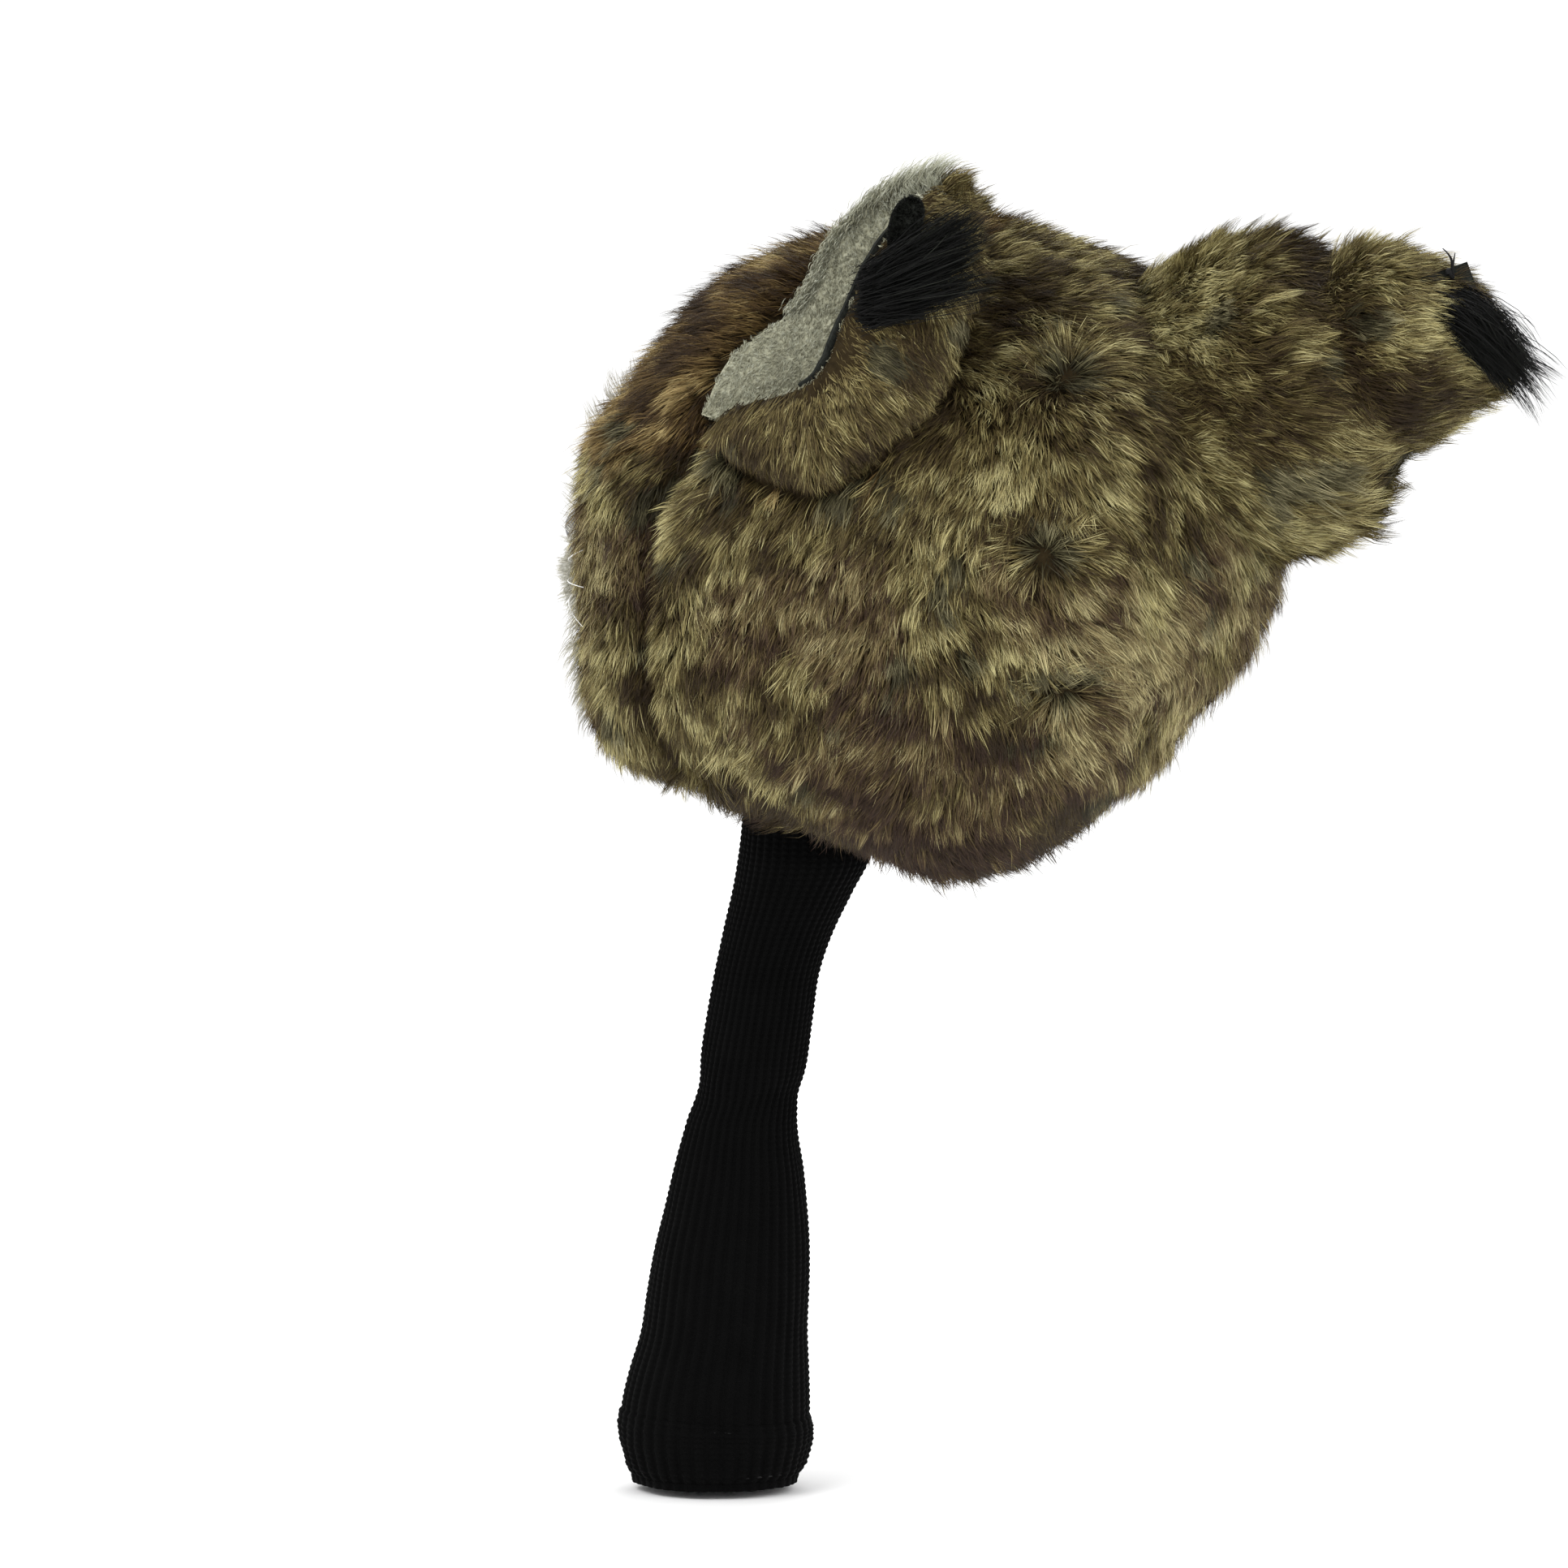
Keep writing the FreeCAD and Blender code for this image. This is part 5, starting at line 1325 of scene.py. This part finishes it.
r3 = np.random.default_rng(41)
kw = dict(flow=tail_flow, tone=tail_tone, hue=tail_hue, rows=FR, mat=M_FUR, width=0.27, K=8, spread=1.25, conv=0.42)
root_fur = coat("tail_root_fur", None, Vr, Qr, Nr, 70000, r3, length=lambda P, N: 10.5 + 1.6 * vnoise(P / 8.0, 116),
                a0=34, a1=70, **kw)
coat("tail_end_fur", "tail_end", Ve2, Qe2, Ne2, 60000, r3, length=lambda P, N: 10.2 + 1.6 * vnoise(P / 8.0, 117),
     a0=34, a1=70, keep=lambda P, N: ((P - TP) @ TA_) > FOLD + 1, **kw)
kl = dict(flow=tail_flow, tone=lambda P, N: tail_tone(P, N) + 0.05, hue=tail_hue, rows=FR, mat=M_FUR, width=0.22, K=14,
          spread=1.7, a0=28, a1=62, conv=0.85)
root_fur += coat("tail_root_locks", None, Vr, Qr, Nr, 9000, r3,
                 length=lambda P, N: 12.5 + 4.0 * sstep(8, 22, (P - TP) @ TA_) + 2 * vnoise(P / 5.0, 118), **kl)
coat("tail_end_locks", "tail_end", Ve2, Qe2, Ne2, 7500, r3, length=lambda P, N: 12.5 + 2 * vnoise(P / 5.0, 119),
     keep=lambda P, N: ((P - TP) @ TA_) > FOLD + 6, **kl)
# end face fur
n = int(5000 * DENS) + 80
ph, rr = r3.uniform(0, 2 * PI, n), 11.0 * np.sqrt(r3.random(n))
root = cap_c + TX_ * (np.cos(ph) * rr)[:, None] + TN_ * (np.sin(ph) * rr)[:, None]
outd = TX_ * np.cos(ph)[:, None] + TN_ * np.sin(ph)[:, None]
d0 = unit(TA_ + outd * 0.35 + r3.normal(0, 0.2, (n, 3)))
d1 = unit(TA_ * 0.4 + outd * 0.8 + np.array([0, 0, -0.6]) + r3.normal(0, 0.25, (n, 3)))
ok = (root - cap_c) @ TN_ < 3.5
strands("tail_face_fur", "tail_end", root[ok], d0[ok], d1[ok], r3.uniform(5, 9, ok.sum()), np.full(ok.sum(), 0.27),
        0.45 + r3.normal(0, 0.2, ok.sum()), np.zeros(ok.sum()), FR, M_FUR, np.tile(TA_, (ok.sum(), 1)), r3)

for ob in [root_skin] + root_fur:
    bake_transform(ob)


# fillings
def tail_fill(name, s0, s1, node, body, inset):
    Vg, Qg = tail_grid(s0, s1, 26, 64, -inset)
    Qg, _ = orient(Vg, Qg, TP)
    Vc, F = capped(Vg, Qg, 26, 64)
    ob = make_mesh(name, Vc, F, M_WAD)
    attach(ob, body)
    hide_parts(node)


tail_fill("tail_root_stuffing", 1.0, 21.0, "tail_root_filling", "tail_root", 2.2)
tail_fill("tail_stuffing", 27.5, 62.5, "tail_filling", "tail_end", 2.4)

# black tuft at the tail's end, in locks
nl = 46
per = int(70 * DENS) + 8
n = nl * per
cl = np.repeat(np.arange(nl), per)
ax = unit(np.array([[0.12, 0.64, -0.74]]))[0]
E1 = unit(TX_ * 0.8 - TA_ * 0.6)
pl, rl = r3.uniform(0, 2 * PI, nl), 7.5 * np.sqrt(r3.random(nl))
lx, lz = np.cos(pl) * rl, np.sin(pl) * rl
lL = 14 + 29 * r3.random(nl)
ld = unit(ax + r3.normal(0, 0.17, (nl, 3)))
root = (TP + TA_ * 61.0 + TN_ * 7.0 + TX_ * 8.0 + (lx[cl] + r3.normal(0, 1.1, n))[:, None] * E1
        + (lz[cl] + r3.normal(0, 1.1, n))[:, None] * TN_)
d0 = unit(TA_ * 0.8 + TX_ * 0.35 + ax * 0.6 + r3.normal(0, 0.16, (n, 3)))
d1 = unit(ld[cl] + np.array([0, 0, -0.12]) + r3.normal(0, 0.11, (n, 3)))
L = lL[cl] * r3.uniform(0.55, 1.12, n)
st = r3.random(n) < 0.03
L = np.where(st, r3.uniform(16, 27, n), L)
d1 = np.where(st[:, None], unit(np.array([0, 0.75, 0.45]) + r3.normal(0, 0.4, (n, 3))), d1)
obs = strands("tail_tuft_hair", "tail_end", root, d0, d1, L, r3.uniform(0.13, 0.25, n), r3.normal(0.38, 0.24, n),
              np.zeros(n), 1, M_BLACKFUR, np.tile([[0.9, 0.2, 0.2]], (n, 1)), r3, cl, 0.66, seg=5, spin=1.5)
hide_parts("tail_tip_fur")

# felt patch and thread knot on the end
a = np.linspace(-1, 1, 15)
A, B = np.meshgrid(a, a, indexing="ij")
sq = 7.0 * np.sign(A) * np.abs(A) ** 0.9
sr = 6.0 * np.sign(B) * np.abs(B) ** 0.9
pc = TP + TA_ * 65.5 + TN_ * 10.6 + TX_ * 6.5
PE1, PEN = unit(TX_ * 0.7 - TA_ * 0.7), unit(TX_ * 0.7 + TA_ * 0.7)
midp = pc + PE1 * sq[..., None] + TN_ * sr[..., None] + PEN * (0.7 * vnoise(np.stack([sq, sr, 0 * sq], -1) / 5.0, 141) - 0.03 * (sq ** 2) / 2)[..., None]
topv = (midp + PEN * 0.6).reshape(-1, 3)
botv = (midp - PEN * 0.6).reshape(-1, 3)
m15 = 225
g15 = np.arange(225).reshape(15, 15)
fcs = [grid_faces(15, 15), grid_faces(15, 15, flip=True, base=m15), rim_faces(g15[:, 0], g15[:, 0] + m15),
       rim_faces(g15[:, -1] + m15, g15[:, -1]), rim_faces(g15[-1], g15[-1] + m15), rim_faces(g15[0] + m15, g15[0])]
ob = make_mesh("tail_end_felt", np.concatenate([topv, botv]), fcs, M_FELT)
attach(ob, "tail_end")
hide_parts("tail_end_patch")
u_ = np.linspace(0, 1, 30)[:, None]
kp = pc + PEN * 0.8 + TN_ * 4.5
knot = [kp + TX_ * 1.2 * np.cos(u_ * 4 * PI) + TN_ * 1.0 * np.sin(u_ * 4 * PI) + TA_ * (0.5 + 0.8 * u_),
        kp + TN_ * 6.5 * u_ + TA_ * (1.0 + 1.2 * np.sin(u_ * 3)) + TX_ * 0.8 * u_,
        kp + TN_ * 4.5 * u_ + TA_ * (1.0 + 2.2 * u_) - TX_ * 1.5 * u_]
ob = whisker("tail_knot_thread", knot, [0.75, 0.5, 0.42], M_THREAD)
for q_ in (ob,):
    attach(q_, "tail_end")
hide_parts("tail_thread_knot")

# --------------------------------------------------------------------- sock
SZ = np.array([14, 9, 2, -4, -13, -23, -33, -43, -53, -59, -63, -66, -69, -73, -83, -93, -103, -113, -123, -133, -141, -150], float)
SY = np.array([0, 0, -0.3, -0.6, -3.5, -7.1, -9.9, -11.6, -13.2, -14.0, -14.7, -15.5, -16.3, -16.8, -17.4, -18.2, -19.2, -20, -20.9, -22.4, -23.2, -23.2], float)
SR = np.array([15.4, 15.4, 15.6, 16.0, 14.5, 13.2, 12.7, 12.9, 13.1, 13.1, 12.95, 12.95, 13.3, 13.9, 15.9, 17.5, 18.9, 19.8, 20.4, 21.9, 22.9, 23.0], float)
NR = 40


def smooth_interp(z, xs, ys):
    """Cubic Hermite through the stations."""
    o = np.argsort(xs)
    return spline(xs[o], ys[o][:, None], np.clip(z, xs.min(), xs.max()).ravel())[:, 0].reshape(z.shape)


def sock_point(z, ph, r_off, rib, st, twist=0.0):
    cy = smooth_interp(z, SZ, SY)
    r = smooth_interp(z, SZ, SR)
    u = (ph * NR / (2 * PI)) % 1.0 * 2 - 1
    colm = np.abs(u)
    k = np.clip(1 - (colm / 0.72) ** 2, 0, 1) ** 0.6
    h = rib * (k - 0.5)
    v = np.sin(2 * PI * (z / 1.5 + 0.42 * colm))
    h = h + st * v * np.clip(1 - colm * 0.9, 0.2, 1) * (colm < 0.75) + st * 0.5 * np.sin(2 * PI * z / 1.5 + PI) * (colm >= 0.75)
    # drape: shallow folds, the kink at the fold line and an oval flattening
    P0_ = np.stack([np.cos(ph) * 9, np.sin(ph) * 9, z / 4.0], -1)
    drape = 0.55 * vnoise(P0_ / 5.0, 121) * sstep(-150, -120, z) * 1.0
    kink = np.exp(-(((z + 66 - 3.0 * np.cos(ph - 1.2)) / 3.2) ** 2))
    drape = drape - 0.7 * kink * (0.5 + 0.5 * np.cos(ph - PI / 2)) + 0.5 * np.exp(-(((z + 60) / 4.0) ** 2)) * np.cos(2 * ph)
    rad = r + r_off + h + drape
    return np.stack([rad * np.cos(ph), cy + rad * np.sin(ph), z], -1)


def sock_piece(name, z0, z1, nodes, rows_per=0.375, inner=True):
    nz = int(abs(z1 - z0) / rows_per) + 1
    nph_ = NR * 8
    z = np.linspace(z0, z1, nz)
    ph_ = np.linspace(0, 2 * PI, nph_, endpoint=False)
    Zg, PHg = np.meshgrid(z, ph_, indexing="ij")
    Vout = sock_point(Zg, PHg, 0.0, 0.62, 0.17).reshape(-1, 3)
    q = grid_faces(nz, nph_, cv=True)
    Nn = vert_normals(Vout, q)
    rel = Vout.copy()
    rel[:, 1] -= smooth_interp(Vout[:, 2], SZ, SY)
    rel[:, 2] = 0
    if (rel * Nn).sum() < 0:
        q = q[:, ::-1]
    ob = make_mesh(name, Vout, [q], M_KNIT)
    # inner face, coarser
    nzi, nphi = max(20, nz // 3), NR * 4
    Zi, PHi = np.meshgrid(np.linspace(z0, z1, nzi), np.linspace(0, 2 * PI, nphi, endpoint=False), indexing="ij")
    Vin = sock_point(Zi, PHi + PI / NR, -1.7, 0.4, 0.0).reshape(-1, 3)
    qi2 = grid_faces(nzi, nphi, cv=True)
    Nn = vert_normals(Vin, qi2)
    rel = Vin.copy()
    rel[:, 1] -= smooth_interp(Vin[:, 2], SZ, SY)
    rel[:, 2] = 0
    if (rel * Nn).sum() > 0:
        qi2 = qi2[:, ::-1]
    ob2 = make_mesh(name + "_inside", Vin, [qi2], M_KNIT)
    return ob, ob2


top_o, top_i = sock_piece("sock_top_knit", 13.0, -41.0, None)
mid_o, mid_i = sock_piece("sock_fold_knit", -41.0, -95.0, None)
bot_o, bot_i = sock_piece("sock_bottom_knit", -95.0, -143.5, None)
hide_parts("sock_upper")
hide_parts("sock_lower")
for ob in (top_o, top_i):
    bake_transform(ob)
for ob in (mid_o, mid_i):
    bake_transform(ob)
for ob in (bot_o, bot_i):
    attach(ob, "sock_bottom")

# hem: a turned and stitched band
HZ0, HZ1, HY = -141.6, -161.3, -23.2


def hem():
    nph_ = 40 * 10
    ph_ = np.linspace(0, 2 * PI, nph_, endpoint=False)
    prof = []
    n1, n2, n3 = 70, 26, 40
    zz = np.linspace(HZ0, HZ1 + 3.0, n1)
    rr_ = np.interp(-zz, [141.6, 143.0, 150, 156, 158.3], [22.8, 23.9, 23.7, 22.1, 20.6])
    prof += list(zip(rr_, zz, np.ones(n1)))
    aa_ = np.linspace(0, PI, n2)
    prof += [(19.95 + 0.65 * math.cos(x), HZ1 + 3.0 - 2.0 * math.sin(x), 0.5) for x in aa_]
    zz = np.linspace(HZ1 + 3.0, HZ0, n3)
    prof += [(19.3 + 0.35 * min(1.0, (z - HZ1 - 3) / 5.0), z, 0.35) for z in zz]
    prof = np.array(prof)
    # a rolled upper lip where the band is turned under
    lipa = np.linspace(0, 1, 8)
    lip = np.stack([23.0 - 1.3 * lipa, HZ0 + 0.9 * np.sin(lipa * PI * 0.5), np.ones(8)], 1)[::-1]
    prof = np.concatenate([lip, prof])
    Rg, PH_ = np.meshgrid(prof[:, 0], ph_, indexing="ij")
    Zg = np.repeat(prof[:, 1][:, None], nph_, 1)
    Am = np.repeat(prof[:, 2][:, None], nph_, 1)
    u = (PH_ * NR / (2 * PI)) % 1.0 * 2 - 1
    colm = np.abs(u)
    k = np.clip(1 - (colm / 0.74) ** 2, 0, 1) ** 0.6
    h = 0.62 * (k - 0.5) * Am
    h = h + 0.17 * np.sin(2 * PI * (Zg / 1.5 + 0.42 * colm)) * Am * (colm < 0.75)
    stitch = np.exp(-(((Zg + 143.6) / 0.9) ** 2)) * (Am > 0.9)
    h = h - 0.45 * stitch
    P_ = np.stack([np.cos(PH_) * 3.0, np.sin(PH_) * 3.0, Zg / 9.0], -1)
    dr = 0.5 * vnoise(P_, 131) * (Am > 0.4)
    rad = Rg + h + dr
    # the band's upper edge sits a little lower toward the tail side
    zoff = -2.2 * (0.5 + 0.5 * np.sin(PH_)) * sstep(-150, -141, Zg) * (Am > 0.9)
    Vh = np.stack([rad * np.cos(PH_), HY + rad * np.sin(PH_), Zg + zoff], -1).reshape(-1, 3)
    q = grid_faces(len(prof), nph_, cv=True)
    N_ = vert_normals(Vh, q)
    rel = Vh - np.array([0, HY, 0])
    rel[:, 2] = 0
    sel = np.arange(len(Vh)) < (8 + 70) * nph_
    if (rel[sel] * N_[sel]).sum() < 0:
        q = q[:, ::-1]
    ob = make_mesh("cuff_hem_knit", Vh, [q], M_KNIT)
    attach(ob, "sock_bottom")
    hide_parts("cuff_hem")


hem()

def band(name, prof, centre, tilt, mat, body, node, n_=96):
    an = np.linspace(0, 2 * PI, n_, endpoint=False)
    pr = np.array(prof, float)
    Rg_, A_ = np.meshgrid(pr[:, 0], an, indexing="ij")
    Zg_ = np.repeat(pr[:, 1][:, None], n_, 1)
    Zg_ = Zg_ + 0.18 * np.sin(A_ * 48) * 0.4
    x, y, z = Rg_ * np.cos(A_), Rg_ * np.sin(A_), Zg_
    c_, s_ = math.cos(tilt), math.sin(tilt)
    Vb_ = np.stack([x, y * c_ - z * s_, y * s_ + z * c_], -1).reshape(-1, 3) + np.array(centre)
    ob_ = make_mesh(name, Vb_, [grid_faces(len(pr), n_, True, True)], mat)
    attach(ob_, body)
    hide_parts(node)


band("neck_elastic_band", [(18.2, -2.2), (19.4, -2.2), (19.4, 2.2), (18.2, 2.2)], (0, -0.6, 9.5), math.radians(-16),
     M_ELASTIC, "head", "neck_elastic")
band("hem_elastic_band", [(20.3, -6.5), (21.2, -6.5), (21.2, 6.5), (20.3, 6.5)], (0, HY, -150.5), 0.0,
     M_ELASTIC, "sock_bottom", "hem_elastic")
paths = []
for k_ in range(40):
    a_ = 2 * PI * (k_ + 0.5) / 40 + np.linspace(-0.045, 0.045, 7)
    bow = 0.28 * np.cos(np.linspace(-PI / 2, PI / 2, 7))
    zz_ = -143.6 - 2.2 * (0.5 + 0.5 * np.sin(a_))
    paths.append(np.stack([(23.2 + bow) * np.cos(a_), HY + (23.2 + bow) * np.sin(a_), zz_], 1))
VV, FF = [], []
for k_, pth in enumerate(paths):
    tg = unit(np.gradient(pth, axis=0))
    a1_ = unit(np.cross(tg, [0, 0, 1.0]))
    b1_ = np.cross(tg, a1_)
    an = np.linspace(0, 2 * PI, 6, endpoint=False)[None, :, None]
    VV.append((pth[:, None] + 0.2 * (np.cos(an) * a1_[:, None] + np.sin(an) * b1_[:, None])).reshape(-1, 3))
    FF.append(grid_faces(7, 6, cv=True, base=k_ * 42))
ob = make_mesh("hem_stitch_thread", np.concatenate(VV), FF, M_THREAD)
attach(ob, "sock_bottom")
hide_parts("hem_stitching")

# -------------------------------------------------------------------- stage
fl = make_mesh("studio_floor", np.array([(-2500, -2500, -162.2), (2500, -2500, -162.2), (2500, 2500, -162.2), (-2500, 2500, -162.2)], float), [np.array([[0, 1, 2, 3]])])
m, nt, b = new_mat("studio_paper")
n_ = noise(nt, 3.0, 2.0)
nt.links.new(ramp(nt, n_, [(0.3, (0.96, 0.96, 0.96, 1)), (0.7, (0.97, 0.97, 0.97, 1))]), b.inputs["Base Color"])
b.inputs["Roughness"].default_value = 0.9
b.inputs["Specular IOR Level"].default_value = 0.1
fl.data.materials.append(m)

sc = bpy.context.scene
sc.view_settings.view_transform = "Standard"
w = bpy.data.worlds.new("studio")
w.use_nodes = True
w.node_tree.nodes["Background"].inputs[0].default_value = (1, 1, 1, 1)
w.node_tree.nodes["Background"].inputs[1].default_value = 1.12
sc.world = w

RV = Vector((-0.242, 0.970, 0.0))
UV = Vector((-0.101, -0.025, 0.9945))
BV = Vector((0.965, 0.240, 0.105)).normalized()
tgt = RV * -0.0056 + UV * 0.0137


def look(ob, frm, to):
    ob.location = frm
    ob.rotation_euler = (to - frm).to_track_quat("-Z", "Y").to_euler()


def area(name, loc, to, size, power):
    l = bpy.data.lights.new(name, "AREA")
    l.shape = "DISK"
    l.size = size
    l.energy = power
    o_ = bpy.data.objects.new(name, l)
    sc.collection.objects.link(o_)
    look(o_, loc, to)
    return o_


mid = Vector((0, 0.03, 0.06))
area("key", mid + BV * 0.9 - RV * 0.7 + UV * 0.9, mid, 0.9, 9.0)
area("fill", mid + BV * 1.0 + RV * 0.9 + UV * 0.3, mid, 1.0, 4.0)
area("rear", mid - BV * 1.0 + RV * 0.2 + UV * 0.9, mid, 0.9, 5.0)

cam = bpy.data.cameras.new("cam")
cam.lens = 400
cam.sensor_width = 36
cam.clip_end = 60
co = bpy.data.objects.new("cam", cam)
sc.collection.objects.link(co)
co.location = tgt + BV * 4.292
co.rotation_euler = (BV * -1).to_track_quat("-Z", "Y").to_euler()
sc.camera = co
